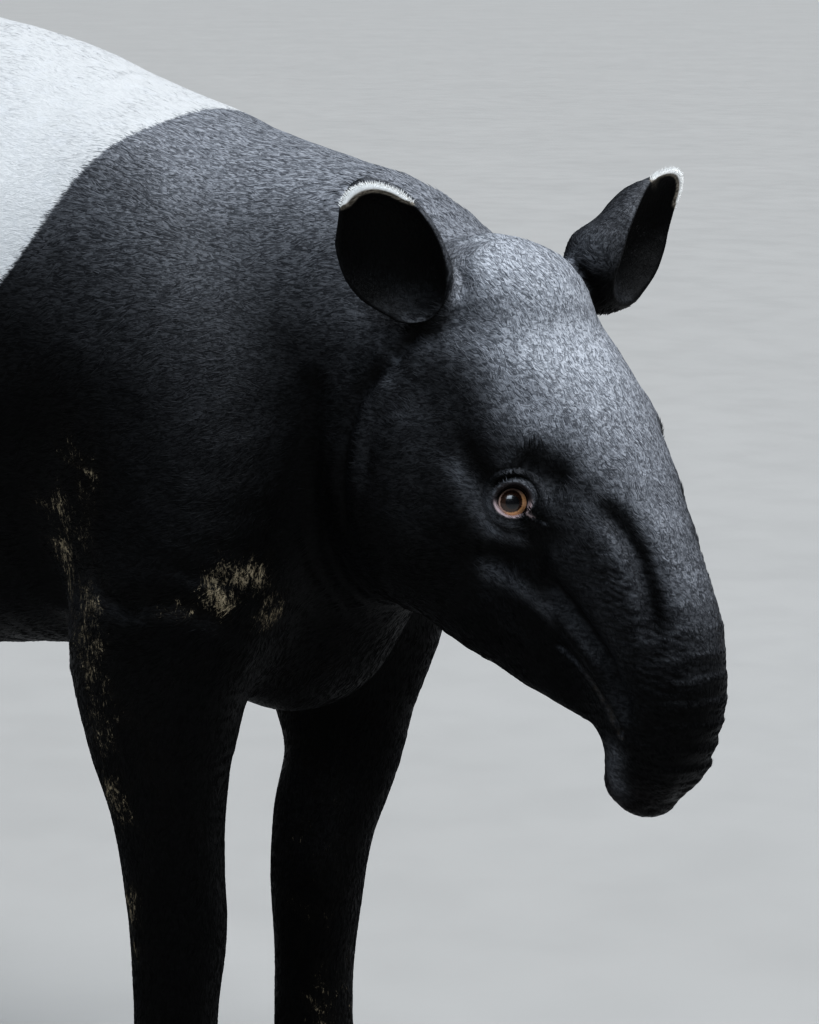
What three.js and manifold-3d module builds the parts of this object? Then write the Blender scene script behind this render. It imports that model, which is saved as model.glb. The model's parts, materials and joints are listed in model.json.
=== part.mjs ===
// Malayan tapir, standing, life size. Millimetres, +Z up.
// +X is the way the trunk points, +Y the animal's left. The floor is z = 0.
// The head is turned to the animal's right and the snout hangs.
import * as THREE from 'three';
import { mergeVertices } from 'three/addons/utils/BufferGeometryUtils.js';
import Module from 'manifold-3d';

const wasm = await Module();
wasm.setup();
const { Manifold, Mesh: SolidMesh } = wasm;

// ---------------------------------------------------------------- sizes
const GAP = 0.3;                          // clear space between touching pieces
const CROWN = [335, -86, 949];            // top of the head between the ears
const HEAD_YAW = -20;                     // degrees, head turned to the right
const FORE_SPREAD = 150;                  // elbow, out from the midline
const FRONT_RIGHT = { x: 0, y: -120, lean: 0, side: -1 };
const FRONT_LEFT = { x: 14, y: 108, lean: 24, side: 1 };
const HIND_RIGHT = { x: -860, y: -132, side: -1 };
const HIND_LEFT = { x: -1000, y: 132, side: 1 };
const EYE_RADIUS = 19;
const EYE = [89, 71, -214];              // middle of the eyeball from the crown
const EYE_LOOK = [0.73, 0.66, 0.17];

const BLACK = 0x1c1e22, GREY = 0x2a2c31, PALE = 0xd8d8d6, HOOF = 0x3b342d, BROWN = 0x4a2c18;

// ---------------------------------------------------------------- frames
const rad = THREE.MathUtils.degToRad;
class Frame {
  constructor(origin, yaw = 0, pitch = 0, roll = 0) {
    this.m = new THREE.Matrix4().makeRotationFromEuler(new THREE.Euler(rad(roll), rad(pitch), rad(yaw), 'ZYX'));
    this.m.setPosition(...origin);
  }
  at(p) { return new THREE.Vector3(...p).applyMatrix4(this.m).toArray(); }
  turn(v) { return new THREE.Vector3(...v).transformDirection(this.m).toArray(); }
}
const BODY = new Frame([0, 0, 0]);
const HEAD = new Frame(CROWN, HEAD_YAW);

// ---------------------------------------------------------------- shapes as distances
const unit = v => { const l = Math.hypot(...v) || 1; return [v[0] / l, v[1] / l, v[2] / l]; };
const cross = (a, b) => [a[1] * b[2] - a[2] * b[1], a[2] * b[0] - a[0] * b[2], a[0] * b[1] - a[1] * b[0]];
const dot = (a, b) => a[0] * b[0] + a[1] * b[1] + a[2] * b[2];
const along = (a, b, t) => a + (b - a) * t;

// A body swept through stations [x, y, z, half width, reach above, reach below, fullness].
class Loft {
  constructor(rows, { frame = BODY, side = [0, 1, 0], caps = [30, 30], sub = 4 } = {}) {
    const r = rows.map(v => [...frame.at(v.slice(0, 3)), ...v.slice(3)]);
    const mid = new THREE.CatmullRomCurve3(r.map(v => new THREE.Vector3(...v.slice(0, 3))), false, 'catmullrom', 0.5);
    const ext = (a, b) => a.map((v, k) => 2 * v - b[k]);
    const p = [ext(r[0], r[1]), ...r, ext(r[r.length - 1], r[r.length - 2])];
    const rom = (a, b, c, d, t) => 0.5 * (2 * b + (c - a) * t + (2 * a - 5 * b + 4 * c - d) * t * t + (3 * b - a - 3 * c + d) * t * t * t);
    const s = frame.turn(side), rowsOut = [];
    const n = (r.length - 1) * sub;
    for (let i = 0; i <= n; i++) {
      const span = Math.min(Math.floor(i / sub), r.length - 2), t = i / sub - span;
      const c = mid.getPoint(i / n).toArray();
      const size = [3, 4, 5, 6].map(k => rom(p[span][k], p[span + 1][k], p[span + 2][k], p[span + 3][k], t));
      rowsOut.push({ c, w: Math.max(size[0], 2), hu: Math.max(size[1], 2), hd: Math.max(size[2], 2), n: size[3] });
    }
    rowsOut.forEach((q, i) => {
      const a = rowsOut[Math.max(i - 1, 0)].c, b = rowsOut[Math.min(i + 1, n)].c;
      const t = unit([b[0] - a[0], b[1] - a[1], b[2] - a[2]]);
      const k = dot(t, s), v = unit([s[0] - t[0] * k, s[1] - t[1] * k, s[2] - t[2] * k]);
      q.t = t; q.s = v; q.u = cross(t, v);
    });
    this.q = rowsOut; this.caps = caps;
    let m = 5 + Math.max(...caps);
    for (const q of rowsOut) m = Math.max(m, Math.max(q.w, q.hu, q.hd) + 5 + Math.max(...caps));
    this.lo = [0, 1, 2].map(k => Math.min(...rowsOut.map(q => q.c[k])) - m);
    this.hi = [0, 1, 2].map(k => Math.max(...rowsOut.map(q => q.c[k])) + m);
  }
  dist(x, y, z) {
    const Q = this.q, last = Q.length - 2;
    let best = 1e18, at = 0, par = 0;
    for (let i = 0; i <= last; i++) {
      const a = Q[i].c, b = Q[i + 1].c;
      const dx = b[0] - a[0], dy = b[1] - a[1], dz = b[2] - a[2];
      const t = ((x - a[0]) * dx + (y - a[1]) * dy + (z - a[2]) * dz) / (dx * dx + dy * dy + dz * dz);
      const c = t < 0 ? 0 : t > 1 ? 1 : t;
      const ex = x - a[0] - c * dx, ey = y - a[1] - c * dy, ez = z - a[2] - c * dz;
      const d = ex * ex + ey * ey + ez * ez;
      if (d < best) { best = d; at = i; par = i === 0 ? Math.min(t, 1) : i === last ? Math.max(t, 0) : c; }
    }
    const A = Q[at], B = Q[at + 1], f = par < 0 ? 0 : par > 1 ? 1 : par;
    const mix = k => [along(A[k][0], B[k][0], f), along(A[k][1], B[k][1], f), along(A[k][2], B[k][2], f)];
    const c = mix('c'), o = [x - c[0], y - c[1], z - c[2]];
    const lx = dot(o, unit(mix('t'))), ly = dot(o, unit(mix('s'))), lz = dot(o, unit(mix('u')));
    const w = along(A.w, B.w, f), h = lz > 0 ? along(A.hu, B.hu, f) : along(A.hd, B.hd, f), e = along(A.n, B.n, f);
    const over = Math.max(0, par < 0 ? -lx / this.caps[0] : par > 1 ? lx / this.caps[1] : 0);
    const g = Math.pow(Math.pow(Math.abs(ly / w), e) + Math.pow(Math.abs(lz / h), e) + Math.pow(over, e) + 1e-12, 1 / e);
    if (g < 0.5) return (g - 1) * Math.min(w, h);
    return Math.sqrt(ly * ly + lz * lz + (over > 0 ? lx * lx : 0)) * (1 - 1 / g);
  }
}
// An ellipsoid with its own axes.
class Ball {
  constructor(c, r, axes) {
    this.c = c; this.r = r; this.a = axes;
    const m = Math.max(...r) + 5;
    this.lo = c.map(v => v - m); this.hi = c.map(v => v + m);
  }
  dist(x, y, z) {
    const o = [x - this.c[0], y - this.c[1], z - this.c[2]];
    let k0 = 0, k1 = 0;
    for (let i = 0; i < 3; i++) { const v = dot(o, this.a[i]), r = this.r[i]; k0 += (v / r) ** 2; k1 += (v / (r * r)) ** 2; }
    k0 = Math.sqrt(k0) + 1e-9;
    return k0 * (k0 - 1) / (Math.sqrt(k1) + 1e-12);
  }
}
// A rod with round ends of two radii.
class Rod {
  constructor(a, b, ra, rb) {
    Object.assign(this, { a, b, ra, rb });
    const m = Math.max(ra, rb) + 5;
    this.lo = [0, 1, 2].map(k => Math.min(a[k], b[k]) - m); this.hi = [0, 1, 2].map(k => Math.max(a[k], b[k]) + m);
  }
  dist(x, y, z) {
    const { a, b } = this, d = [b[0] - a[0], b[1] - a[1], b[2] - a[2]];
    const t = THREE.MathUtils.clamp(dot([x - a[0], y - a[1], z - a[2]], d) / dot(d, d), 0, 1);
    return Math.hypot(x - a[0] - t * d[0], y - a[1] - t * d[1], z - a[2] - t * d[2]) - along(this.ra, this.rb, t);
  }
}

const flesh = [];                         // shape, how softly it joins, +1 added or -1 taken away
const loft = (rows, k, o) => flesh.push([new Loft(rows, o), k, 1]);
function ball(c, r, k, sign = 1, frame = BODY, yaw = 0, pitch = 0) {
  const own = new Frame([0, 0, 0], yaw, pitch);
  const axes = [[1, 0, 0], [0, 1, 0], [0, 0, 1]].map(v => frame.turn(own.turn(v)));
  flesh.push([new Ball(frame.at(c), r, axes), k, sign]);
}
const rod = (a, b, ra, rb, k, sign = 1, frame = BODY) => flesh.push([new Rod(frame.at(a), frame.at(b), ra, rb), k, sign]);

const softMin = (a, b, k) => { const h = Math.min(1, Math.max(0, 0.5 + 0.5 * (b - a) / k)); return b * (1 - h) + a * h - k * h * (1 - h); };
function field(x, y, z) {
  let f = 1e4;
  for (const [s, k, sign] of flesh) {
    if (x < s.lo[0] - 60 || y < s.lo[1] - 60 || z < s.lo[2] - 60 || x > s.hi[0] + 60 || y > s.hi[1] + 60 || z > s.hi[2] + 60) continue;
    const d = s.dist(x, y, z);
    f = sign > 0 ? softMin(f, d, k) : -softMin(-f, d, k);
  }
  return f;
}

// ---------------------------------------------------------------- trunk and neck
loft([
  [165, 0, 742, 100, 112, 130, 2.1],
  [80, 0, 762, 158, 196, 200, 2.1],
  [-40, 0, 788, 203, 244, 269, 2.1],
  [-160, 0, 812, 236, 273, 297, 2.1],
  [-280, 0, 825, 258, 300, 316, 2.15],
  [-430, 0, 832, 272, 318, 328, 2.15],
  [-600, 0, 835, 276, 321, 331, 2.15],
  [-770, 0, 838, 264, 301, 304, 2.15],
  [-910, 0, 842, 234, 264, 246, 2.1],
  [-1010, 0, 842, 196, 220, 200, 2.1],
  [-1075, 0, 842, 160, 172, 162, 2.05]], 1, { side: [0, -1, 0], caps: [60, 105] });
loft([
  [-80, 0, 812, 158, 206, 215, 2.15],
  [40, 0, 806, 156, 210, 222, 2.15],
  [140, -14, 798, 146, 202, 205, 2.1],
  [225, -36, 780, 130, 175, 185, 2.1],
  [300, -66, 757, 112, 152, 160, 2.1]], 60, { caps: [60, 40] });
ball([55, 0, 598], [116, 104, 120], 70, 1, BODY, 0, -20);   // brisket

// ---------------------------------------------------------------- legs
const HOOVES = [];                        // { name, frame, at, size }
function foot(name, x, y, side, turnOut, toes) {
  const f = new Frame([x, y, 0], turnOut * side);
  rod([-14, 0, 34], [12, 0, 30], 38, 40, 22, 1, f);          // sole pad and heel
  for (const [label, dy, reach, drop, w, l] of toes) {
    const yy = dy * side;
    rod([-2 + reach * 0.1, yy * 0.62, 66], [reach - 10, yy, 24 + drop], 21 * w, 17 * w, 12, 1, f);
    HOOVES.push({ name: `hoof_${name}_${label}`, frame: new Frame(f.at([reach, yy, drop]), turnOut * side + Math.sign(yy) * Math.abs(dy) * 0.32), w, l });
  }
}
// dy out from the foot's midline, reach ahead, lift of the hoof, width, length
const FORE_TOES = [['outer', 57, 4, 8, 0.72, 0.78], ['left', 38, 40, 0, 0.86, 0.9], ['middle', 0, 58, 0, 1.0, 1.06], ['right', -38, 40, 0, 0.86, 0.9]];
const HIND_TOES = [['left', 38, 38, 0, 0.86, 0.9], ['middle', 0, 58, 0, 1.04, 1.08], ['right', -38, 38, 0, 0.86, 0.9]];

for (const leg of [FRONT_RIGHT, FRONT_LEFT]) {
  const { x, y, lean, side: s } = leg;
  loft([
    [-60, s * 112, 955, 50, 58, 58, 2],
    [-15, s * 143, 850, 66, 86, 92, 2],
    [35, s * 152, 735, 74, 98, 108, 2],
    [40 + lean * 0.6, s * 151, 640, 78, 96, 106, 2],
    [6 + lean, s * FORE_SPREAD, 560, 70, 97 + lean * 0.4, 92, 2.05],
    [-4 + lean, s * 143, 480, 59, 84 + lean * 0.4, 68 + lean * 0.3, 2.1],
    [-2 + lean, s * 134, 410, 51, 65 + lean * 0.4, 52 - lean * 0.15, 2.1],
    [x * 0.6 + lean * 0.4, (s * 128 + y) / 2, 345, 46, 56 + lean * 0.2, 50, 2.1],
    [x + 4, y, 285, 43, 50, 47, 2.2],
    [x + 1, y, 220, 39, 43, 41, 2.2],
    [x, y, 150, 38, 40, 41, 2.2],
    [x + 3, y, 95, 41, 38, 45, 2.2],
    [x + 5, y, 62, 45, 40, 46, 2.2]], 60, { caps: [60, 16] });
  foot(s < 0 ? 'front_right' : 'front_left', x + 8, y, s, 6, FORE_TOES);
}
for (const leg of [HIND_RIGHT, HIND_LEFT]) {
  const { x, y, side: s } = leg;
  loft([
    [-930, s * 100, 950, 80, 110, 105, 2],
    [-930, s * 126, 810, 103, 158, 158, 2],
    [-925, s * 140, 690, 102, 158, 162, 2.05],
    [(-900 + x) / 2 - 5, s * 146, 572, 86, 118, 128, 2.1],
    [x - 40, s * 145, 465, 64, 76, 84, 2.1],
    [x - 75, y, 378, 48, 50, 62, 2.1],
    [x - 78, y, 305, 41, 44, 53, 2.1],
    [x - 55, y, 220, 38, 39, 44, 2.2],
    [x - 30, y, 140, 37, 37, 41, 2.2],
    [x - 14, y, 95, 40, 38, 44, 2.2],
    [x - 6, y, 62, 44, 40, 46, 2.2]], 70, { caps: [90, 16] });
  foot(s < 0 ? 'hind_right' : 'hind_left', x, y, s, 8, HIND_TOES);
}

// ---------------------------------------------------------------- tail
loft([
  [-1150, 0, 925, 36, 30, 34, 2.1],
  [-1203, 0, 895, 27, 22, 26, 2.1],
  [-1230, 0, 845, 20, 16, 19, 2.1],
  [-1234, 0, 800, 12, 10, 12, 2.1]], 30, { side: [0, -1, 0], caps: [20, 10] });

// ---------------------------------------------------------------- head, from the crown
loft([
  [-95, 0, -110, 84, 62, 120, 2.1],
  [-25, 0, -118, 96, 95, 130, 2.1],
  [45, 0, -170, 94, 98, 120, 2.15],
  [105, 0, -230, 79, 90, 100, 2.2],
  [155, 0, -294, 60, 85, 78, 2.2],
  [185, 0, -350, 50, 78, 58, 2.2],
  [194, 0, -405, 43, 60, 45, 2.2],
  [182, 0, -456, 30, 32, 41, 2.2]], 40, { frame: HEAD, caps: [50, 24] });
loft([
  [-78, 0, -228, 98, 92, 94, 2.3],
  [-5, 0, -288, 84, 84, 78, 2.3],
  [68, 0, -338, 60, 70, 54, 2.2],
  [122, 0, -374, 42, 50, 33, 2.2],
  [160, 0, -398, 30, 34, 17, 2.2]], 25, { frame: HEAD, caps: [40, 23] });
ball([8, 0, -42], [62, 60, 38], 40, 1, HEAD, 0, 20);
for (const s of [-1, 1]) {
  ball([-38, s * 62, -215], [90, 50, 92], 35, 1, HEAD, 0, 35);
  ball([88, s * 66, -176], [46, 26, 30], 25, 1, HEAD, 0, 50);
  // eye: a ring of lid, then its opening
  const look = unit([EYE_LOOK[0], s * EYE_LOOK[1], EYE_LOOK[2]]);
  const c = [EYE[0], s * EYE[1], EYE[2]];
  ball(c, [24, 24, 24], 10, 1, HEAD);
  ball(c.map((v, k) => v + look[k] * 27), [16.5, 16.5, 12.5], 3, -1, HEAD, 0, 0);
}

// ---------------------------------------------------------------- ears
// balls: centre across, forward and up the ear, radii, blend; cup: centre, radii and how far it leans back
function ear(base, up, face, length, width, deep, balls, cup) {
  const u = unit(HEAD.turn(unit(up))), f0 = HEAD.turn(unit(face)), k = dot(f0, u);
  const f = unit([f0[0] - u[0] * k, f0[1] - u[1] * k, f0[2] - u[2] * k]), w = cross(u, f);
  const b = HEAD.at(base), axes = [w, f, u];
  const go = (a, c, d) => b.map((v, i) => v + w[i] * a + f[i] * c + u[i] * d);
  for (const [c, r, k] of balls) flesh.push([new Ball(go(...c), r, axes), k, 1]);
  const [c, r, lean] = cup, u2 = unit(u.map((v, i) => v - f[i] * lean)), f2 = unit(f.map((v, i) => v + u[i] * lean));
  flesh.push([new Ball(go(...c), r, [w, f2, u2]), 4, -1]);
  return { b, u, f, w, length, width, deep };
}
const EAR_RIGHT = ear([2, -84, -64], [-0.36, -0.36, 0.92], [0.55, -0.83, 0.1], 136, 54, 34,
  [[[-2, 0, 64], [43, 25, 72], 14], [[-14, 2, 66], [39, 22, 51], 5]], [[-5, 24, 66], [44, 36, 64], 0]);
const EAR_LEFT = ear([0, 82, -56], [-0.02, 0.77, 0.69], [0.925, 0.276, -0.258], 157, 52, 52,
  [[[0, 6, 40], [45, 38, 36], 24], [[2, 12, 67], [49, 33, 67], 10], [[4, 8, 78], [38, 18, 83], 14]], [[0, 57, 86], [46, 56, 83], 0.26]);

// ---------------------------------------------------------------- surface of the field inside a box
const boxDistance = (lo, hi) => (x, y, z) => Math.max(lo[0] - x, x - hi[0], lo[1] - y, y - hi[1], lo[2] - z, z - hi[2]);
const KUHN = [[0, 1, 2], [1, 2, 0], [2, 0, 1], [0, 2, 1], [2, 1, 0], [1, 0, 2]].map(order => {
  const v = [[0, 0, 0]];
  for (const a of order) { const n = [...v[v.length - 1]]; n[a] = 1; v.push(n); }
  return v;
});
function surface(f, lo, hi, step) {
  const n = [0, 1, 2].map(k => Math.ceil((hi[k] - lo[k]) / step / 4) * 4 + 1);
  const at = (i, j, k) => (k * n[1] + j) * n[0] + i;
  const val = new Float32Array(n[0] * n[1] * n[2]).fill(NaN);
  const get = (i, j, k) => {
    const a = at(i, j, k);
    if (Number.isNaN(val[a])) val[a] = f(lo[0] + i * step, lo[1] + j * step, lo[2] + k * step) || 1e-4;
    return val[a];
  };
  const pos = [], tri = [], known = new Map();
  const point = (a, b) => {
    const low = a.p[0] + a.p[1] + a.p[2] <= b.p[0] + b.p[1] + b.p[2] ? a : b, high = low === a ? b : a;
    const d = [0, 1, 2].map(k => high.p[k] - low.p[k]);
    const key = at(...low.p) * 8 + d[0] + 2 * d[1] + 4 * d[2];
    let id = known.get(key);
    if (id === undefined) {
      const t = THREE.MathUtils.clamp(low.v / (low.v - high.v), 0.04, 0.96);
      id = pos.length / 3;
      for (let k = 0; k < 3; k++) pos.push(lo[k] + (low.p[k] + d[k] * t) * step);
      known.set(key, id);
    }
    return id;
  };
  const face = (a, b, c, from, to) => {
    const P = i => pos.slice(3 * i, 3 * i + 3), A = P(a), B = P(b), C = P(c);
    const nrm = cross([B[0] - A[0], B[1] - A[1], B[2] - A[2]], [C[0] - A[0], C[1] - A[1], C[2] - A[2]]);
    dot(nrm, [to[0] - from[0], to[1] - from[1], to[2] - from[2]]) >= 0 ? tri.push(a, b, c) : tri.push(a, c, b);
  };
  const mean = set => [0, 1, 2].map(k => set.reduce((q, v) => q + v.p[k], 0) / set.length);
  for (let K = 0; K < n[2] - 1; K += 4) for (let J = 0; J < n[1] - 1; J += 4) for (let I = 0; I < n[0] - 1; I += 4) {
    let near = 1e9;
    for (const [a, b, c] of [[0, 0, 0], [4, 0, 0], [0, 4, 0], [4, 4, 0], [0, 0, 4], [4, 0, 4], [0, 4, 4], [4, 4, 4], [2, 2, 2]]) near = Math.min(near, Math.abs(get(I + a, J + b, K + c)));
    if (near > step * 5) continue;
    for (let k = K; k < K + 4; k++) for (let j = J; j < J + 4; j++) for (let i = I; i < I + 4; i++) {
      let inside = 0;
      for (let c = 0; c < 8; c++) if (get(i + (c & 1), j + ((c >> 1) & 1), k + (c >> 2)) < 0) inside++;
      if (inside === 0 || inside === 8) continue;
      for (const tet of KUHN) {
        const v = tet.map(([a, b, c]) => ({ p: [i + a, j + b, k + c], v: get(i + a, j + b, k + c) }));
        const yes = v.filter(q => q.v < 0), no = v.filter(q => q.v >= 0);
        if (!yes.length || !no.length) continue;
        const from = mean(yes), to = mean(no);
        if (yes.length === 1) face(...no.map(q => point(yes[0], q)), from, to);
        else if (no.length === 1) face(...yes.map(q => point(q, no[0])), from, to);
        else {
          const q = [point(yes[0], no[0]), point(yes[0], no[1]), point(yes[1], no[1]), point(yes[1], no[0])];
          face(q[0], q[1], q[2], from, to); face(q[0], q[2], q[3], from, to);
        }
      }
    }
  }
  return { pos, tri };
}

// ---------------------------------------------------------------- fewer triangles, same shape
function simplify({ pos, tri }, target, fine = () => 1) {
  const nv = pos.length / 3, nt = tri.length / 3;
  const P = Float64Array.from(pos), T = Int32Array.from(tri), live = new Uint8Array(nt).fill(1), stamp = new Int32Array(nv);
  const fan = Array.from({ length: nv }, () => []), Q = new Float64Array(nv * 10);
  const normal = (a, b, c) => {
    const ux = P[3 * b] - P[3 * a], uy = P[3 * b + 1] - P[3 * a + 1], uz = P[3 * b + 2] - P[3 * a + 2];
    const vx = P[3 * c] - P[3 * a], vy = P[3 * c + 1] - P[3 * a + 1], vz = P[3 * c + 2] - P[3 * a + 2];
    return [uy * vz - uz * vy, uz * vx - ux * vz, ux * vy - uy * vx];
  };
  for (let t = 0; t < nt; t++) {
    const a = T[3 * t], b = T[3 * t + 1], c = T[3 * t + 2];
    fan[a].push(t); fan[b].push(t); fan[c].push(t);
    const m = normal(a, b, c), l = Math.hypot(...m);
    if (l < 1e-9) continue;
    const x = m[0] / l, y = m[1] / l, z = m[2] / l, d = -(x * P[3 * a] + y * P[3 * a + 1] + z * P[3 * a + 2]);
    const w = l * fine(P[3 * a], P[3 * a + 1], P[3 * a + 2]);
    const q = [x * x, x * y, x * z, x * d, y * y, y * z, y * d, z * z, z * d, d * d];
    for (const v of [a, b, c]) for (let k = 0; k < 10; k++) Q[10 * v + k] += q[k] * w;
  }
  const heap = [];
  const less = (a, b) => heap[a].cost < heap[b].cost;
  const swap = (a, b) => { const t = heap[a]; heap[a] = heap[b]; heap[b] = t; };
  const up = i => { while (i > 0) { const p = (i - 1) >> 1; if (!less(i, p)) break; swap(i, p); i = p; } };
  const pop = () => {
    const top = heap[0], last = heap.pop();
    if (heap.length) {
      heap[0] = last;
      for (let i = 0; ;) { let c = 2 * i + 1; if (c >= heap.length) break; if (c + 1 < heap.length && less(c + 1, c)) c++; if (!less(c, i)) break; swap(c, i); i = c; }
    }
    return top;
  };
  const push = (a, b) => {
    const q = new Float64Array(10);
    for (let k = 0; k < 10; k++) q[k] = Q[10 * a + k] + Q[10 * b + k];
    const cost = (x, y, z) => q[0] * x * x + 2 * q[1] * x * y + 2 * q[2] * x * z + 2 * q[3] * x + q[4] * y * y + 2 * q[5] * y * z + 2 * q[6] * y + q[7] * z * z + 2 * q[8] * z + q[9];
    const A = [P[3 * a], P[3 * a + 1], P[3 * a + 2]], B = [P[3 * b], P[3 * b + 1], P[3 * b + 2]];
    const M = A.map((v, k) => (v + B[k]) / 2), span = Math.hypot(A[0] - B[0], A[1] - B[1], A[2] - B[2]);
    let best = [M, A, B].map(p => ({ p, c: cost(...p) })).reduce((u, v) => v.c < u.c ? v : u);
    const det = q[0] * (q[4] * q[7] - q[5] * q[5]) - q[1] * (q[1] * q[7] - q[5] * q[2]) + q[2] * (q[1] * q[5] - q[4] * q[2]);
    if (Math.abs(det) > 1e-3 * (q[0] + q[4] + q[7]) ** 3 * 1e-2) {
      const x = -(q[3] * (q[4] * q[7] - q[5] * q[5]) - q[1] * (q[6] * q[7] - q[5] * q[8]) + q[2] * (q[6] * q[5] - q[4] * q[8])) / det;
      const y = -(q[0] * (q[6] * q[7] - q[8] * q[5]) - q[3] * (q[1] * q[7] - q[5] * q[2]) + q[2] * (q[1] * q[8] - q[6] * q[2])) / det;
      const z = -(q[0] * (q[4] * q[8] - q[5] * q[6]) - q[1] * (q[1] * q[8] - q[6] * q[2]) + q[3] * (q[1] * q[5] - q[4] * q[2])) / det;
      if (Math.hypot(x - M[0], y - M[1], z - M[2]) < span) { const c = cost(x, y, z); if (c < best.c) best = { p: [x, y, z], c }; }
    }
    heap.push({ cost: best.c + 1e-4 * span * span, a, b, p: best.p, sa: stamp[a], sb: stamp[b] });
    up(heap.length - 1);
  };
  const around = v => { const s = new Set(); for (const t of fan[v]) if (live[t]) for (let k = 0; k < 3; k++) if (T[3 * t + k] !== v) s.add(T[3 * t + k]); return s; };
  let left = nt, before = Infinity;
  while (left > target) {
    if (!heap.length) {                    // another pass over what was refused before
      if (left > before * 0.98) break;
      before = left;
      for (let v = 0; v < nv; v++) for (const o of around(v)) if (o > v) push(v, o);
    }
    const e = pop(), { a, b } = e;
    if (e.sa !== stamp[a] || e.sb !== stamp[b]) continue;
    const ra = around(a), rb = around(b);
    let shared = 0; for (const v of ra) if (rb.has(v)) shared++;
    if (shared !== 2 || ra.size + rb.size < 8) continue;
    const keep = [P[3 * a], P[3 * a + 1], P[3 * a + 2], P[3 * b], P[3 * b + 1], P[3 * b + 2]];
    let good = true;
    const test = (v, other) => {
      for (const t of fan[v]) {
        if (!live[t]) continue;
        const c = [T[3 * t], T[3 * t + 1], T[3 * t + 2]];
        if (c.includes(other)) continue;
        const m0 = normal(...c);
        for (let k = 0; k < 3; k++) P[3 * v + k] = e.p[k];
        const m1 = normal(...c);
        for (let k = 0; k < 3; k++) P[3 * v + k] = keep[(v === a ? 0 : 3) + k];
        const l0 = Math.hypot(...m0), l1 = Math.hypot(...m1);
        const q = c.map(i => i === v ? e.p : [P[3 * i], P[3 * i + 1], P[3 * i + 2]]);
        const long = Math.max(...[0, 1, 2].map(k => Math.hypot(q[k][0] - q[(k + 1) % 3][0], q[k][1] - q[(k + 1) % 3][1], q[k][2] - q[(k + 1) % 3][2])));
        const was = Math.max(...[0, 1, 2].map(k => Math.hypot(P[3 * c[k]] - P[3 * c[(k + 1) % 3]], P[3 * c[k] + 1] - P[3 * c[(k + 1) % 3] + 1], P[3 * c[k] + 2] - P[3 * c[(k + 1) % 3] + 2])));
        if (l1 < Math.min(0.02, 0.9 * l0 / (was * was)) * long * long || (l0 > 0.02 * was * was && dot(m0, m1) < 0.3 * l0 * l1)) { good = false; return; }
      }
    };
    test(a, b); if (good) test(b, a);
    if (!good) continue;
    for (let k = 0; k < 3; k++) P[3 * a + k] = e.p[k];
    for (let k = 0; k < 10; k++) Q[10 * a + k] += Q[10 * b + k];
    for (const t of fan[b]) {
      if (!live[t]) continue;
      const c = [T[3 * t], T[3 * t + 1], T[3 * t + 2]];
      if (c.includes(a)) { live[t] = 0; left--; continue; }
      for (let k = 0; k < 3; k++) if (T[3 * t + k] === b) T[3 * t + k] = a;
      fan[a].push(t);
    }
    fan[a] = fan[a].filter(t => live[t]); fan[b] = [];
    stamp[a]++; stamp[b]++;
    for (const o of around(a)) push(a, o);
  }
  const map = new Map(), outP = [], outT = [];
  for (let t = 0; t < nt; t++) if (live[t]) for (let k = 0; k < 3; k++) {
    const v = T[3 * t + k];
    if (!map.has(v)) { map.set(v, outP.length / 3); outP.push(P[3 * v], P[3 * v + 1], P[3 * v + 2]); }
    outT.push(map.get(v));
  }
  return { pos: outP, tri: outT };
}

// ---------------------------------------------------------------- solids
function solid({ pos, tri }) {
  const s = new Manifold(new SolidMesh({ numProp: 3, vertProperties: Float32Array.from(pos), triVerts: Uint32Array.from(tri) }));
  const bits = s.decompose();
  return bits.reduce((a, b) => (b.volume() > a.volume() ? b : a));
}
function shape(geometry, matrix = new THREE.Matrix4()) {
  geometry.deleteAttribute('normal'); geometry.deleteAttribute('uv');
  const g = mergeVertices(geometry.applyMatrix4(matrix), 1e-3);
  return solid({ pos: g.attributes.position.array, tri: g.index.array });
}
// all that lies ahead of a plane through a point, or inside a box
const ahead = (frame, point, yaw, pitch, size = [3000, 3000, 3000]) => {
  const m = frame.m.clone().multiply(new THREE.Matrix4().makeTranslation(...point)).multiply(new Frame([0, 0, 0], yaw, pitch).m);
  return grow => shape(new THREE.BoxGeometry(size[0] + grow, size[1] + 2 * grow, size[2] + 2 * grow), m.clone().multiply(new THREE.Matrix4().makeTranslation(size[0] / 2 - grow / 2, 0, 0)));
};
const within = (lo, hi) => grow => shape(new THREE.BoxGeometry(...[0, 1, 2].map(k => hi[k] - lo[k] + 2 * grow)),
  new THREE.Matrix4().makeTranslation(...[0, 1, 2].map(k => (hi[k] + lo[k]) / 2)));
const biggest = s => s.decompose().reduce((a, b) => (b.volume() > a.volume() ? b : a));
// splits a solid: what is in the region, and the rest, with the gap between
function split(s, ...regions) {
  const inner = regions.map(r => r(-GAP / 2)).reduce((a, b) => a.intersect(b));
  const outer = regions.map(r => r(GAP / 2)).reduce((a, b) => a.intersect(b));
  return [biggest(s.intersect(inner)), biggest(s.subtract(outer))];
}
function flesh_in(lo, hi, step, target, also = () => -1e9, fine) {
  const box = boxDistance(lo, hi), e = step * 2;
  const raw = surface((x, y, z) => Math.max(field(x, y, z), box(x, y, z), also(x, y, z)), lo.map(v => v - e), hi.map(v => v + e), step);
  return solid(simplify(raw, target, fine));
}

const nodes = [];
function node(name, s, colour, roughness = 0.62) {
  const m = s.getMesh(), g = new THREE.BufferGeometry();
  g.setAttribute('position', new THREE.BufferAttribute(Float32Array.from(m.vertProperties), 3));
  g.setIndex(new THREE.BufferAttribute(Uint32Array.from(m.triVerts), 1));
  g.computeBoundingBox();
  const c = g.boundingBox.getCenter(new THREE.Vector3());
  g.translate(-c.x, -c.y, -c.z);
  const mesh = new THREE.Mesh(g, new THREE.MeshStandardMaterial({ color: colour, roughness, metalness: 0 }));
  mesh.name = name; mesh.position.copy(c);
  nodes.push(mesh);
}

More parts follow.
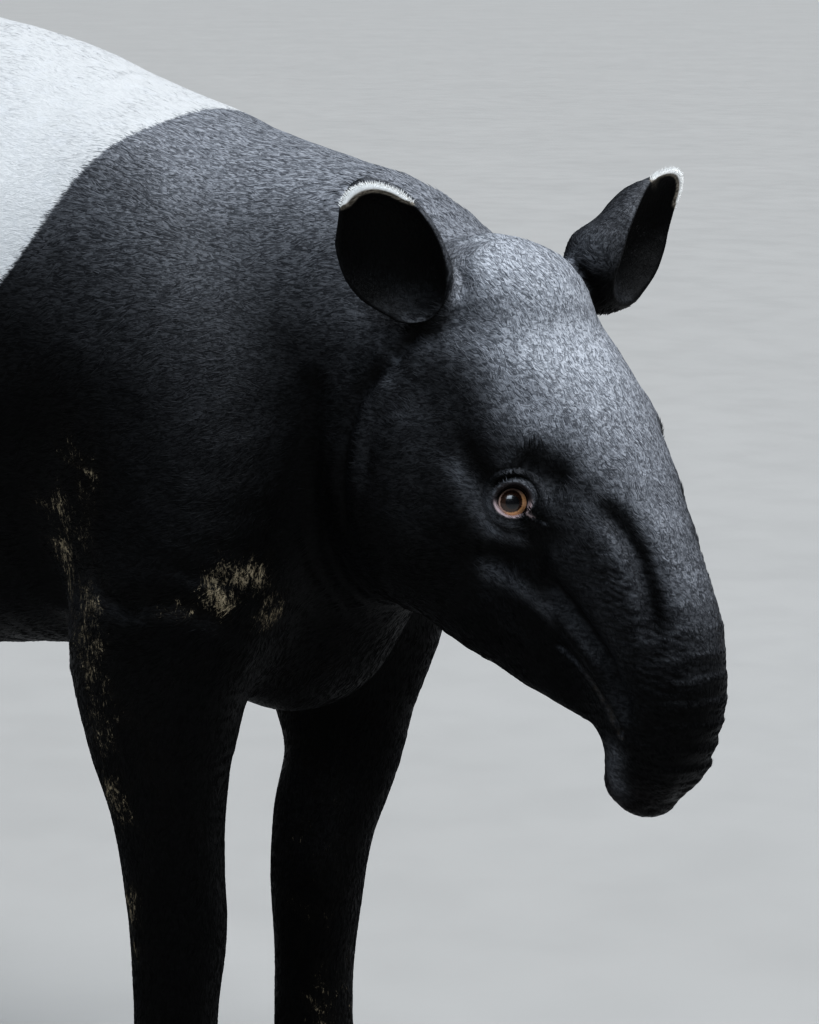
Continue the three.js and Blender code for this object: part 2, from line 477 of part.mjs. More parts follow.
// where the parts meet
const NECK_FRONT = ahead(HEAD, [-104, 0, -170], 0, 7.6);
const NECK_BACK = ahead(BODY, [122, 0, 830], 0, -16);
const FLOOR = within([-2000, -1000, 0], [2000, 1000, 3000]);

// trunk, neck, upper and lower legs, tail
let body = flesh_in([-1290, -330, 118], [345, 330, 1190], 11, 2240);
let neck, tail;
[neck, body] = split(body, NECK_BACK);
neck = split(neck, NECK_FRONT)[1];
[tail, body] = split(body, ahead(BODY, [-1184, 0, 902], 180, 30, [300, 108, 104]));
const legs = [];
for (const [name, x0, x1, y0, top, knee] of [['front_right', -100, 260, -62, 580, 300], ['front_left', -85, 260, 62, 580, 300], ['hind_right', -1150, -772, -38, 625, 335], ['hind_left', -1190, -790, 38, 625, 335]]) {
  const s = Math.sign(y0), region = within([x0, s < 0 ? -500 : y0, -50], [x1, s < 0 ? y0 : 500, top]);
  let leg, lower;
  [leg, body] = split(body, region);
  [lower, leg] = split(leg, within([-2000, -1000, -50], [2000, 1000, knee]));
  node(`leg_${name}_upper`, leg, name.startsWith('hind') ? BLACK : GREY);
  legs.push([name, lower]);
}
node('trunk', body, PALE);
node('neck', neck, GREY);
node('tail', tail, PALE);

// feet and hooves
for (const [name, lower] of legs) {
  const at = { front_right: FRONT_RIGHT, front_left: FRONT_LEFT, hind_right: HIND_RIGHT, hind_left: HIND_LEFT }[name];
  const below = within([-2000, -1000, -50], [2000, 1000, 128]);
  node(`leg_${name}_lower`, split(lower, below)[1], name.startsWith('hind') ? BLACK : GREY);
  let f = flesh_in([at.x - 90, at.y - 95, -8], [at.x + 130, at.y + 95, 150], 5, 190);
  f = f.intersect(FLOOR(0)).intersect(within([-2000, -1000, -60], [2000, 1000, 128 - GAP / 2])(0));
  const taken = [];
  for (const h of HOOVES.filter(q => q.name.startsWith(`hoof_${name}`))) {
    const tip = ahead(h.frame, [-7, 0, 8], 0, 38, [200, 200, 200]);
    const lift = h.frame.m.clone().setPosition(h.frame.m.elements[12], h.frame.m.elements[13], h.frame.m.elements[14]);
    const place = grow => shape(new THREE.SphereGeometry(1, 10, 6), lift.clone().multiply(new THREE.Matrix4().makeTranslation(2, 0, 3)).multiply(new THREE.Matrix4().makeScale(27 * h.l + grow, 20 * h.w + grow, 30 * h.l + grow)));
    const base = h.frame.m.elements[14];
    const above = within([-2000, -1000, base], [2000, 1000, 3000]);
    let hoof = place(0).intersect(tip(0)).intersect(above(0));
    for (const q of taken) hoof = hoof.subtract(q);
    node(h.name, biggest(hoof), HOOF, 0.5);
    taken.push(place(GAP).intersect(tip(GAP)));
    f = f.subtract(taken[taken.length - 1]);
  }
  node(`foot_${name}`, biggest(f), BLACK);
}

// ears
function earRegion(e) {
  // a box that starts a little above the ear's base and runs past its tip
  const m = new THREE.Matrix4().makeBasis(new THREE.Vector3(...e.u), new THREE.Vector3(...cross(e.u, e.w).map(v => -v)), new THREE.Vector3(...e.w));
  const right = new THREE.Vector3().setFromMatrixColumn(m, 0).cross(new THREE.Vector3().setFromMatrixColumn(m, 1)).dot(new THREE.Vector3().setFromMatrixColumn(m, 2));
  if (right < 0) m.makeBasis(new THREE.Vector3(...e.u), new THREE.Vector3(...e.f), new THREE.Vector3(...cross(e.u, e.f)));
  m.setPosition(...e.b.map((v, k) => v + e.u[k] * EAR_CUT));
  return grow => shape(new THREE.BoxGeometry(e.length + 40 + grow, 2 * e.deep + 2 * grow, 2 * e.width + 12 + 2 * grow), m.clone().multiply(new THREE.Matrix4().makeTranslation((e.length + 40) / 2 - grow / 2, 0, 0)));
}
const EAR_CUT = 24;
const past = (e, d) => (x, y, z) => { const o = [x - e.b[0], y - e.b[1], z - e.b[2]]; return d - dot(o, e.u); };
const off = (e, d) => (x, y, z) => {                       // outside the ear's own space
  const o = [x - e.b[0], y - e.b[1], z - e.b[2]];
  return Math.min(dot(o, e.u) - d, e.width + 2 - Math.abs(dot(o, e.w)), e.deep - 5 - Math.abs(dot(o, e.f)));
};
for (const [name, e] of [['ear_right', EAR_RIGHT], ['ear_left', EAR_LEFT]]) {
  const c = e.b.map((v, k) => v + e.u[k] * e.length * 0.5), r = e.length * 0.5 + 30;
  const keep = (x, y, z) => Math.max(past(e, EAR_CUT - 5)(x, y, z), Math.abs(dot([x - e.b[0], y - e.b[1], z - e.b[2]], e.w)) - e.width - 4, Math.abs(dot([x - e.b[0], y - e.b[1], z - e.b[2]], e.f)) - e.deep + 2);
  const s = flesh_in(c.map(v => v - r), c.map(v => v + r), 3.2, 280, keep);
  node(name, split(s, earRegion(e))[0], BLACK, 0.7);
}

// head, snout and lower jaw
const c0 = HEAD.at([40, 0, -230]);
const notEars = (x, y, z) => Math.max(off(EAR_RIGHT, EAR_CUT + 5)(x, y, z), off(EAR_LEFT, EAR_CUT + 5)(x, y, z));
let head = flesh_in(c0.map((v, k) => v - [235, 190, 285][k]), c0.map((v, k) => v + [245, 190, 255][k]), 5.5, 1420, notEars);
head = split(head, NECK_FRONT)[0];
for (const e of [EAR_RIGHT, EAR_LEFT]) head = biggest(head.subtract(earRegion(e)(GAP / 2)));
for (const s of [-1, 1]) {
  const at = new THREE.Matrix4().makeTranslation(...HEAD.at([EYE[0], s * EYE[1], EYE[2]]));
  node(s < 0 ? 'eye_right' : 'eye_left', shape(new THREE.SphereGeometry(EYE_RADIUS, 14, 9), at), BROWN, 0.15);
  head = head.subtract(shape(new THREE.SphereGeometry(EYE_RADIUS + GAP, 14, 9), at));
}
let snout, jaw;
[jaw, head] = split(head, ahead(HEAD, [120, 0, -312], 0, 102), ahead(HEAD, [172, 0, -364], 0, 145), ahead(HEAD, [160, 0, -421], 0, -78));
[snout, head] = split(head, ahead(HEAD, [140, 0, -320], 0, 58));
node('head', biggest(head), GREY);
node('proboscis', biggest(snout), GREY);
node('lower_jaw', biggest(jaw), BLACK);

const model = new THREE.Group();
model.name = 'malayan_tapir';
model.add(...nodes);
const box = new THREE.Box3().setFromObject(model);
model.position.set(-(box.min.x + box.max.x) / 2, -(box.min.y + box.max.y) / 2, -box.min.z);
model.updateMatrixWorld(true);
export default model;
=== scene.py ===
import json
import math
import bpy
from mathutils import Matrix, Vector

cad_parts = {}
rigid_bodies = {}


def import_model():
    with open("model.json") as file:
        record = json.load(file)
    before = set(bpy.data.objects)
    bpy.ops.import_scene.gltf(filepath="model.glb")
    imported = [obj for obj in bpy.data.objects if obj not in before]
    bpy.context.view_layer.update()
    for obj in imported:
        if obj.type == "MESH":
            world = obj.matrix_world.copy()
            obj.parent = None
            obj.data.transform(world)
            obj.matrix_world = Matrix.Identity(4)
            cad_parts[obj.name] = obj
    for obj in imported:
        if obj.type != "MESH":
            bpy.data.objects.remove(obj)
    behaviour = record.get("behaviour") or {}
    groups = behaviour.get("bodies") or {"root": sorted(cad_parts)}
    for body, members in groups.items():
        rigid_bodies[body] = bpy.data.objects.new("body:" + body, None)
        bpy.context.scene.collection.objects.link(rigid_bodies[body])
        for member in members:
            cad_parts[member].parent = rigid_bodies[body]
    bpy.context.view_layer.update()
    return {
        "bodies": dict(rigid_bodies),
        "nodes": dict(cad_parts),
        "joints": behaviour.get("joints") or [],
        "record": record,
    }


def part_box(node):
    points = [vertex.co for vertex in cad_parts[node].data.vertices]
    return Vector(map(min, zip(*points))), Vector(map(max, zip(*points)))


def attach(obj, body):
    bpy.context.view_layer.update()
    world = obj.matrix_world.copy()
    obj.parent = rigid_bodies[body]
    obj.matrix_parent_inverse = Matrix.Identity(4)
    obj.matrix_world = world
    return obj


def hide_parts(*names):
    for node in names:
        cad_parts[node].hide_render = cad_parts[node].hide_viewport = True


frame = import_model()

from concurrent.futures import ThreadPoolExecutor

import bpy
import numpy as np
from mathutils import Matrix, Vector

POOL = ThreadPoolExecutor(4)


def spread(f, p, chunk=6000):
    """f over many points, a block of them at a time on each core."""
    if len(p) <= chunk:
        return f(p)
    return np.concatenate(list(POOL.map(f, [p[i:i + chunk] for i in range(0, len(p), chunk)])))


# ------------------------------------------------------------------ shapes, in millimetres
def smin(a, b, k):
    h = np.clip(0.5 + 0.5 * (b - a) / k, 0, 1)
    return b * (1 - h) + a * h - k * h * (1 - h)


def smax(a, b, k):
    return -smin(-a, -b, k)


def unit(v):
    v = np.asarray(v, float)
    return v / np.maximum(np.linalg.norm(v, axis=-1, keepdims=True), 1e-12)


def step(a, b, x):
    """0 below a, 1 above b, smooth between."""
    t = np.clip((x - a) / (b - a), 0, 1)
    return t * t * (3 - 2 * t)


def spline(rows, sub):
    """Catmull-Rom through the rows (any number of columns), sub steps for each span."""
    r = np.asarray(rows, float)
    p = np.vstack([2 * r[0] - r[1], r, 2 * r[-1] - r[-2]])
    out = []
    for i in range(len(r) - 1):
        a, b, c, d = p[i], p[i + 1], p[i + 2], p[i + 3]
        for j in range(sub):
            t = j / sub
            out.append(0.5 * (2 * b + (c - a) * t + (2 * a - 5 * b + 4 * c - d) * t * t + (3 * b - a - 3 * c + d) * t ** 3))
    out.append(r[-1])
    return np.array(out)


class Loft:
    """A body swept along a spline. Each row: x, y, z, half-width, reach up, reach down, exponent. caps are the end lengths."""

    def __init__(self, rows, side, caps, sub=4, n=2.2):
        rows = [tuple(r) + ((n,) if len(r) == 6 else ()) for r in rows]
        d = spline(rows, sub)
        d[:, 3:6] = np.maximum(d[:, 3:6], 2)
        self.c = d[:, :3]
        t = unit(np.gradient(self.c, axis=0))
        s = np.asarray(side, float)
        s = unit(s - t * (t @ s)[:, None])
        self.t, self.s, self.u = t, s, np.cross(t, s)
        self.w, self.hu, self.hd, self.n = d[:, 3], d[:, 4], d[:, 5], d[:, 6]
        self.caps = caps
        m = d[:, 3:6].max() + 5 + max(caps)
        self.lo, self.hi = self.c.min(0) - m, self.c.max(0) + m

    def dist(self, p):
        c, n = self.c, len(self.c)
        best = np.full(len(p), 1e18)
        idx = np.zeros(len(p), int)
        par = np.zeros(len(p))
        for i in range(n - 1):
            a, ab = c[i], c[i + 1] - c[i]
            t = ((p - a) @ ab) / (ab @ ab)
            tc = np.clip(t, 0, 1)
            q = p - a - tc[:, None] * ab
            d = np.einsum("ij,ij->i", q, q)
            m = d < best
            best[m] = d[m]
            idx[m] = i
            if i == 0:
                par[m] = np.minimum(t[m], 1)
            elif i == n - 2:
                par[m] = np.maximum(t[m], 0)
            else:
                par[m] = tc[m]
        j = idx + 1
        tc = np.clip(par, 0, 1)

        def mix(v):
            if v.ndim == 2:
                return v[idx] * (1 - tc)[:, None] + v[j] * tc[:, None]
            return v[idx] * (1 - tc) + v[j] * tc

        o = p - mix(self.c)
        T, S, U = unit(mix(self.t)), unit(mix(self.s)), unit(mix(self.u))
        x, y, z = (np.einsum("ij,ij->i", o, k) for k in (T, S, U))
        w, hu, hd, e = mix(self.w), mix(self.hu), mix(self.hd), mix(self.n)
        over = np.where(par < 0, -x / self.caps[0], np.where(par > 1, x / self.caps[1], 0.0))
        over = np.maximum(over, 0)
        h = np.where(z > 0, hu, hd)
        g = (np.abs(y / w) ** e + np.abs(z / h) ** e + over ** e + 1e-12) ** (1 / e)
        r = np.sqrt(y * y + z * z + np.where(over > 0, x * x, 0)) + 1e-9
        d1 = r * (1 - 1 / np.maximum(g, 1e-6))
        return np.where(g < 0.5, (g - 1) * np.minimum(w, h), d1)


class Ball:
    """An ellipsoid: centre, radii, and its own axes as rows."""

    def __init__(self, c, r, axes=None):
        self.c, self.r = np.asarray(c, float), np.asarray(r, float)
        self.a = np.eye(3) if axes is None else np.asarray(axes, float)
        m = self.r.max() + 5
        self.lo, self.hi = self.c - m, self.c + m

    def dist(self, p):
        q = (p - self.c) @ self.a.T
        k0 = np.sqrt(((q / self.r) ** 2).sum(1)) + 1e-9
        k1 = np.sqrt(((q / self.r ** 2) ** 2).sum(1)) + 1e-12
        return k0 * (k0 - 1) / k1


class Cone:
    """A rod with round ends of two radii."""

    def __init__(self, a, b, ra, rb):
        self.p, self.b, self.ra, self.rb = np.asarray(a, float), np.asarray(b, float), ra, rb
        m = max(ra, rb) + 5
        self.lo, self.hi = np.minimum(self.p, self.b) - m, np.maximum(self.p, self.b) + m

    def dist(self, p):
        ab = self.b - self.p
        t = np.clip(((p - self.p) @ ab) / (ab @ ab), 0, 1)
        q = p - self.p - t[:, None] * ab
        return np.sqrt((q * q).sum(1)) - (self.ra + (self.rb - self.ra) * t)


class Head:
    """A frame: origin, yaw and pitch in degrees. x forward, y left, z up."""

    def __init__(self, o, yaw, pitch=0):
        y, p = np.radians([yaw, pitch])
        Rz = np.array([[np.cos(y), -np.sin(y), 0], [np.sin(y), np.cos(y), 0], [0, 0, 1]])
        Ry = np.array([[np.cos(p), 0, np.sin(p)], [0, 1, 0], [-np.sin(p), 0, np.cos(p)]])
        self.R, self.o = Rz @ Ry, np.asarray(o, float)

    def to(self, p):
        return np.asarray(p, float) @ self.R.T + self.o

    def inv(self, p):
        return (p - self.o) @ self.R


CROWN = (335, -86, 949)
HEAD = Head(CROWN, -20)
BODY = Head((0, 0, 0), 0)
EYE_RADIUS = 19
EYE = (89, 71, -214)
GAZE = unit([0.73, 0.66, 0.17])           # where the eye looks, in the head's frame, left eye
P = []


def loft(rows, k, frame=BODY, side=(0, 1, 0), caps=(30, 30), sub=4):
    r = [list(frame.to(v[:3])) + list(v[3:]) for v in rows]
    P.append((Loft(r, frame.R @ np.asarray(side, float), caps, sub), k, 1))


def ball(c, r, k, sign=1, frame=BODY, yaw=0, pitch=0):
    own = Head((0, 0, 0), yaw, pitch)
    P.append((Ball(frame.to(c), r, (frame.R @ own.R).T), k, sign))


def rod(a, b, ra, rb, k, sign=1, frame=BODY):
    P.append((Cone(frame.to(a), frame.to(b), ra, rb), k, sign))


FRONT_RIGHT, FRONT_LEFT = (0, -120, 0, -1), (14, 108, 24, 1)
HIND_RIGHT, HIND_LEFT = (-860, -132, -1), (-1000, 132, 1)
# trunk, neck and brisket
loft([
    [165, 0, 742, 100, 112, 130, 2.1], [80, 0, 762, 158, 196, 200, 2.1], [-40, 0, 788, 203, 244, 269, 2.1],
    [-160, 0, 812, 236, 273, 297, 2.1], [-280, 0, 825, 258, 300, 316, 2.15], [-430, 0, 832, 272, 318, 328, 2.15],
    [-600, 0, 835, 276, 321, 331, 2.15], [-770, 0, 838, 264, 301, 304, 2.15], [-910, 0, 842, 234, 264, 246, 2.1],
    [-1010, 0, 842, 196, 220, 200, 2.1], [-1075, 0, 842, 160, 172, 162, 2.05]], 1, side=(0, -1, 0), caps=(60, 105))
loft([
    [-80, 0, 812, 158, 206, 215, 2.15], [40, 0, 806, 156, 210, 222, 2.15], [140, -14, 798, 146, 202, 205, 2.1],
    [225, -36, 780, 130, 175, 185, 2.1], [300, -66, 757, 112, 152, 160, 2.1]], 60, caps=(60, 40))
ball([55, 0, 598], [116, 104, 120], 70, 1, BODY, 0, -20)

HOOVES = []


def foot(name, x, y, side, turn, toes):
    f = Head((x, y, 0), turn * side)
    rod([-14, 0, 34], [12, 0, 30], 38, 40, 22, 1, f)
    for label, dy, reach, drop, w, l in toes:
        yy = dy * side
        rod([-2 + reach * 0.1, yy * 0.62, 66], [reach - 10, yy, 24 + drop], 21 * w, 17 * w, 12, 1, f)
        HOOVES.append(("hoof_%s_%s" % (name, label), f.to((reach, yy, drop)), turn * side + np.sign(yy) * abs(dy) * 0.32, w, l))


FORE_TOES = [["outer", 57, 4, 8, 0.72, 0.78], ["left", 38, 40, 0, 0.86, 0.9], ["middle", 0, 58, 0, 1.0, 1.06], ["right", -38, 40, 0, 0.86, 0.9]]
HIND_TOES = [["left", 38, 38, 0, 0.86, 0.9], ["middle", 0, 58, 0, 1.04, 1.08], ["right", -38, 38, 0, 0.86, 0.9]]
for x, y, lean, s in (FRONT_RIGHT, FRONT_LEFT):
    loft([
        [-60, s * 112, 955, 50, 58, 58, 2], [-15, s * 143, 850, 66, 86, 92, 2], [35, s * 152, 735, 74, 98, 108, 2],
        [40 + lean * 0.6, s * 151, 640, 78, 96, 106, 2], [6 + lean, s * 150, 560, 70, 97 + lean * 0.4, 92, 2.05],
        [-4 + lean, s * 143, 480, 59, 84 + lean * 0.4, 68 + lean * 0.3, 2.1], [-2 + lean, s * 134, 410, 51, 65 + lean * 0.4, 52 - lean * 0.15, 2.1],
        [x * 0.6 + lean * 0.4, (s * 128 + y) / 2, 345, 46, 56 + lean * 0.2, 50, 2.1], [x + 4, y, 285, 43, 50, 47, 2.2],
        [x + 1, y, 220, 39, 43, 41, 2.2], [x, y, 150, 38, 40, 41, 2.2], [x + 3, y, 95, 41, 38, 45, 2.2],
        [x + 5, y, 62, 45, 40, 46, 2.2]], 60, caps=(60, 16))
    foot("front_right" if s < 0 else "front_left", x + 8, y, s, 6, FORE_TOES)
for x, y, s in (HIND_RIGHT, HIND_LEFT):
    loft([
        [-930, s * 100, 950, 80, 110, 105, 2], [-930, s * 126, 810, 103, 158, 158, 2], [-925, s * 140, 690, 102, 158, 162, 2.05],
        [(-900 + x) / 2 - 5, s * 146, 572, 86, 118, 128, 2.1], [x - 40, s * 145, 465, 64, 76, 84, 2.1],
        [x - 75, y, 378, 48, 50, 62, 2.1], [x - 78, y, 305, 41, 44, 53, 2.1], [x - 55, y, 220, 38, 39, 44, 2.2],
        [x - 30, y, 140, 37, 37, 41, 2.2], [x - 14, y, 95, 40, 38, 44, 2.2], [x - 6, y, 62, 44, 40, 46, 2.2]], 70, caps=(90, 16))
    foot("hind_right" if s < 0 else "hind_left", x, y, s, 8, HIND_TOES)
loft([
    [-1150, 0, 925, 36, 30, 34, 2.1], [-1203, 0, 895, 27, 22, 26, 2.1], [-1230, 0, 845, 20, 16, 19, 2.1],
    [-1234, 0, 800, 12, 10, 12, 2.1]], 30, side=(0, -1, 0), caps=(20, 10))
# head
loft([
    [-95, 0, -110, 84, 62, 120, 2.1], [-25, 0, -118, 96, 95, 130, 2.1], [45, 0, -170, 94, 98, 120, 2.15],
    [105, 0, -230, 79, 90, 100, 2.2], [155, 0, -294, 60, 85, 78, 2.2], [185, 0, -350, 50, 78, 58, 2.2],
    [194, 0, -405, 43, 60, 45, 2.2], [182, 0, -456, 30, 32, 41, 2.2]], 40, frame=HEAD, caps=(50, 24))
loft([
    [-78, 0, -228, 98, 92, 94, 2.3], [-5, 0, -288, 84, 84, 78, 2.3], [68, 0, -338, 60, 70, 54, 2.2],
    [122, 0, -374, 42, 50, 33, 2.2], [160, 0, -398, 30, 34, 17, 2.2]], 25, frame=HEAD, caps=(40, 23))
ball([8, 0, -42], [62, 60, 38], 40, 1, HEAD, 0, 20)
EYES = []
for s in (-1, 1):
    ball([-38, s * 62, -215], [90, 50, 92], 35, 1, HEAD, 0, 35)
    ball([88, s * 66, -176], [46, 26, 30], 25, 1, HEAD, 0, 50)
    c = HEAD.to([EYE[0], s * EYE[1], EYE[2]])
    g = HEAD.R @ unit([GAZE[0], s * GAZE[1], GAZE[2]])
    a2 = unit(np.array([0, 0, 1.0]) - g * g[2])
    a1 = np.cross(a2, g) * -s          # forward on both sides: to the muzzle
    if a1 @ HEAD.R[:, 0] < 0:
        a1 = -a1
    EYES.append((s, c, g, a1, a2))
    P.append((Ball(c, [23.2, 23.2, 23.2]), 9, 1))
LID = (14.3, 12.9, 0.5, 1.9)               # the opening between the lids: half-width, half-height, and its centre from the eye's
for s, c, g, a1, a2 in EYES:
    A = np.stack([a1, a2, g])
    P.append((Ball(c + g * 26 + a1 * LID[2] + a2 * LID[3], [LID[0] + 1.4, LID[1] + 1.4, 19.5], A), 1.6, -1))
    P.append((Cone(c + g * 20 + a1 * 8 - a2 * 5, c + g * 12.0 + a1 * 18.2 - a2 * 13.0, 6.5, 1.5), 1.6, -1))

EARS = []


def ear(base, up, face, length, width, s, balls, cup):
    """balls: centre across, forward and up the ear, radii, blend. cup: centre, radii and how far it leans back."""
    u = unit(HEAD.R @ unit(up))
    f = HEAD.R @ unit(face)
    f = unit(f - u * (f @ u))
    w = np.cross(u, f)
    b = HEAD.to(base)
    A = np.stack([w, f, u])
    solid = [(Ball(b + np.asarray(c, float) @ A, r, A), k) for c, r, k in balls]
    c, r, lean = cup
    hollow = Ball(b + np.asarray(c, float) @ A, r, np.stack([w, unit(f + u * lean), unit(u - f * lean)]))
    for one, k in solid:
        P.append((one, k, 1))
    P.append((hollow, 4, -1))

    def outer(p):
        d = solid[0][0].dist(p)
        for one, k in solid[1:]:
            d = smin(d, one.dist(p), k)
        return d

    EARS.append((b, u, f, w, length, width, outer, hollow.dist, s))


ear([2, -84, -64], [-0.36, -0.36, 0.92], [0.55, -0.83, 0.1], 136, 48, -1,
    [((-2, 0, 64), (43, 25, 72), 14), ((-14, 2, 66), (39, 22, 51), 5)], ((-5, 24, 66), (45.2, 37.2, 65.2), 0))
ear([0, 82, -56], [-0.02, 0.77, 0.69], [0.925, 0.276, -0.258], 157, 50, 1,
    [((0, 6, 40), (45, 38, 36), 24), ((2, 12, 67), (49, 33, 67), 10), ((4, 8, 78), (38, 18, 83), 14)], ((0, 57, 86), (47.2, 57.2, 84.2), 0.26))


def flesh(p, margin=60):
    f = np.full(len(p), 1e4)
    for sh, k, sg in P:
        m = np.all((p > sh.lo - margin) & (p < sh.hi + margin), axis=1)
        if not m.any():
            continue
        d = sh.dist(p[m])
        f[m] = smin(f[m], d, k) if sg > 0 else smax(f[m], -d, k)
    return f


# the CAD's frame from its own right eye
lo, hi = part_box("eye_right")
SHIFT = np.round((np.array(lo) + np.array(hi)) / 2 * 1000 - EYES[0][1], 1)
SHIFT[2] = 0


def metres(p):
    return (np.asarray(p, float) + SHIFT) / 1000


# ------------------------------------------------------------------ small noises
def noise(p, seed=0):
    """Smooth noise from 0 to 1, one lattice cell for each unit."""
    i = np.floor(p).astype(np.int64)
    f = p - i
    f = f * f * (3 - 2 * f)
    out = np.zeros(len(p))
    for a in (0, 1):
        for b in (0, 1):
            for c in (0, 1):
                n = (i[:, 0] + a) * 374761393 + (i[:, 1] + b) * 668265263 + (i[:, 2] + c) * 1440662683 + seed * 974711
                n = (n ^ (n >> 13)) * 1274126177
                n = ((n ^ (n >> 16)) & 0xFFFFFF) / float(0xFFFFFF)
                w = (f[:, 0] if a else 1 - f[:, 0]) * (f[:, 1] if b else 1 - f[:, 1]) * (f[:, 2] if c else 1 - f[:, 2])
                out += w * n
    return out


def rough(p, seed=0, octaves=3):
    v, a, t = 0, 1.0, 0
    for o in range(octaves):
        v = v + a * noise(p * 2 ** o, seed + o)
        t += a
        a *= 0.5
    return v / t


# ------------------------------------------------------------------ surface extraction
def nets(f, lo, hi, h, coarse, margin):
    """Surface nets of f over a box on a grid of step h. Evaluates only near the surface."""
    lo, hi = np.asarray(lo, float), np.asarray(hi, float)
    n = (np.ceil((hi - lo) / (h * coarse)).astype(int)) * coarse + 1
    nc = (n - 1) // coarse + 1
    ax = [lo[k] + h * coarse * np.arange(nc[k]) for k in range(3)]
    g = np.stack(np.meshgrid(*ax, indexing="ij"), -1).reshape(-1, 3)
    vc = spread(f, g).reshape(nc)
    near = np.abs(vc) < h * coarse * 0.9 + margin
    blk = np.zeros(nc - 1, bool)
    for a in (0, 1):
        for b in (0, 1):
            for c in (0, 1):
                blk |= near[a:nc[0] - 1 + a, b:nc[1] - 1 + b, c:nc[2] - 1 + c]
    V = np.repeat(np.repeat(np.repeat(vc, coarse, 0), coarse, 1), coarse, 2)[:n[0], :n[1], :n[2]].astype(np.float32)
    bi = np.argwhere(blk)
    k = np.arange(coarse + 1)
    loc = np.stack(np.meshgrid(k, k, k, indexing="ij"), -1).reshape(-1, 3)
    mask = np.zeros(n, bool)
    for s in range(0, len(bi), 20000):
        ii = (bi[s:s + 20000, None, :] * coarse + loc[None]).reshape(-1, 3)
        mask[ii[:, 0], ii[:, 1], ii[:, 2]] = True
    idx = np.argwhere(mask)
    V[idx[:, 0], idx[:, 1], idx[:, 2]] = spread(f, lo + idx * h)
    S = V < 0
    c8 = [S[a:n[0] - 1 + a, b:n[1] - 1 + b, c:n[2] - 1 + c] for a in (0, 1) for b in (0, 1) for c in (0, 1)]
    cnt = sum(x.astype(np.int8) for x in c8)
    cell = np.argwhere((cnt > 0) & (cnt < 8))
    cid = -np.ones(n - 1, int)
    cid[cell[:, 0], cell[:, 1], cell[:, 2]] = np.arange(len(cell))
    corner = np.array([(a, b, c) for a in (0, 1) for b in (0, 1) for c in (0, 1)])
    vals = np.stack([V[cell[:, 0] + a, cell[:, 1] + b, cell[:, 2] + c] for a, b, c in corner], 1)
    acc, num = np.zeros((len(cell), 3)), np.zeros(len(cell))
    for i in range(8):
        for j in range(i + 1, 8):
            if np.abs(corner[i] - corner[j]).sum() != 1:
                continue
            a, b = vals[:, i], vals[:, j]
            m = (a < 0) != (b < 0)
            t = a[m] / (a[m] - b[m])
            acc[m] += corner[i] + t[:, None] * (corner[j] - corner[i])
            num[m] += 1
    verts = lo + (cell + acc / num[:, None]) * h
    quads = []
    for d in range(3):
        e = [0, 0, 0]
        e[d] = 1
        A = S[:n[0] - e[0], :n[1] - e[1], :n[2] - e[2]]
        B = S[e[0]:, e[1]:, e[2]:]
        x = np.argwhere(A != B)
        o1, o2 = [k for k in range(3) if k != d]
        x = x[(x[:, o1] > 0) & (x[:, o2] > 0) & (x[:, o1] < n[o1] - 1) & (x[:, o2] < n[o2] - 1)]
        inside = A[x[:, 0], x[:, 1], x[:, 2]]

        def at(da, db):
            y = x.copy()
            y[:, o1] -= da
            y[:, o2] -= db
            return cid[y[:, 0], y[:, 1], y[:, 2]]

        q = np.stack([at(1, 1), at(0, 1), at(0, 0), at(1, 0)], 1)
        flip = inside if d != 1 else ~inside
        q[~flip] = q[~flip][:, ::-1]
        quads.append(q)
    q = np.vstack(quads)
    # each quad is cut along its shorter diagonal
    a = np.linalg.norm(verts[q[:, 0]] - verts[q[:, 2]], axis=1) <= np.linalg.norm(verts[q[:, 1]] - verts[q[:, 3]], axis=1)
    t = np.vstack([q[a][:, [0, 1, 2]], q[a][:, [0, 2, 3]], q[~a][:, [0, 1, 3]], q[~a][:, [1, 2, 3]]])
    return verts, t


def slope(f, p, e=0.6):
    """Gradient and value of f from four points round each p."""
    k = np.array([[1, -1, -1], [-1, -1, 1], [-1, 1, -1], [1, 1, 1]], float)
    v = [spread(f, p + e * s) for s in k]
    g = sum(s[None] * x[:, None] for s, x in zip(k, v)) / (4 * e)
    return g, sum(v) / 4


def settle(f, v, level, steps=2, e=0.6, most=4.0):
    """Moves the points on to the surface of f at that level (a function of the point)."""
    for _ in range(steps):
        g, d = slope(f, v, e)
        gg = np.maximum((g * g).sum(1), 0.15)
        mv = g * (-(d - level(v)) / gg)[:, None]
        L = np.linalg.norm(mv, axis=1)
        v = v + mv * np.minimum(1, most / np.maximum(L, 1e-9))[:, None]
    return v


def compact(V, T):
    used = np.unique(T)
    back = -np.ones(len(V), int)
    back[used] = np.arange(len(used))
    return V[used], back[T]


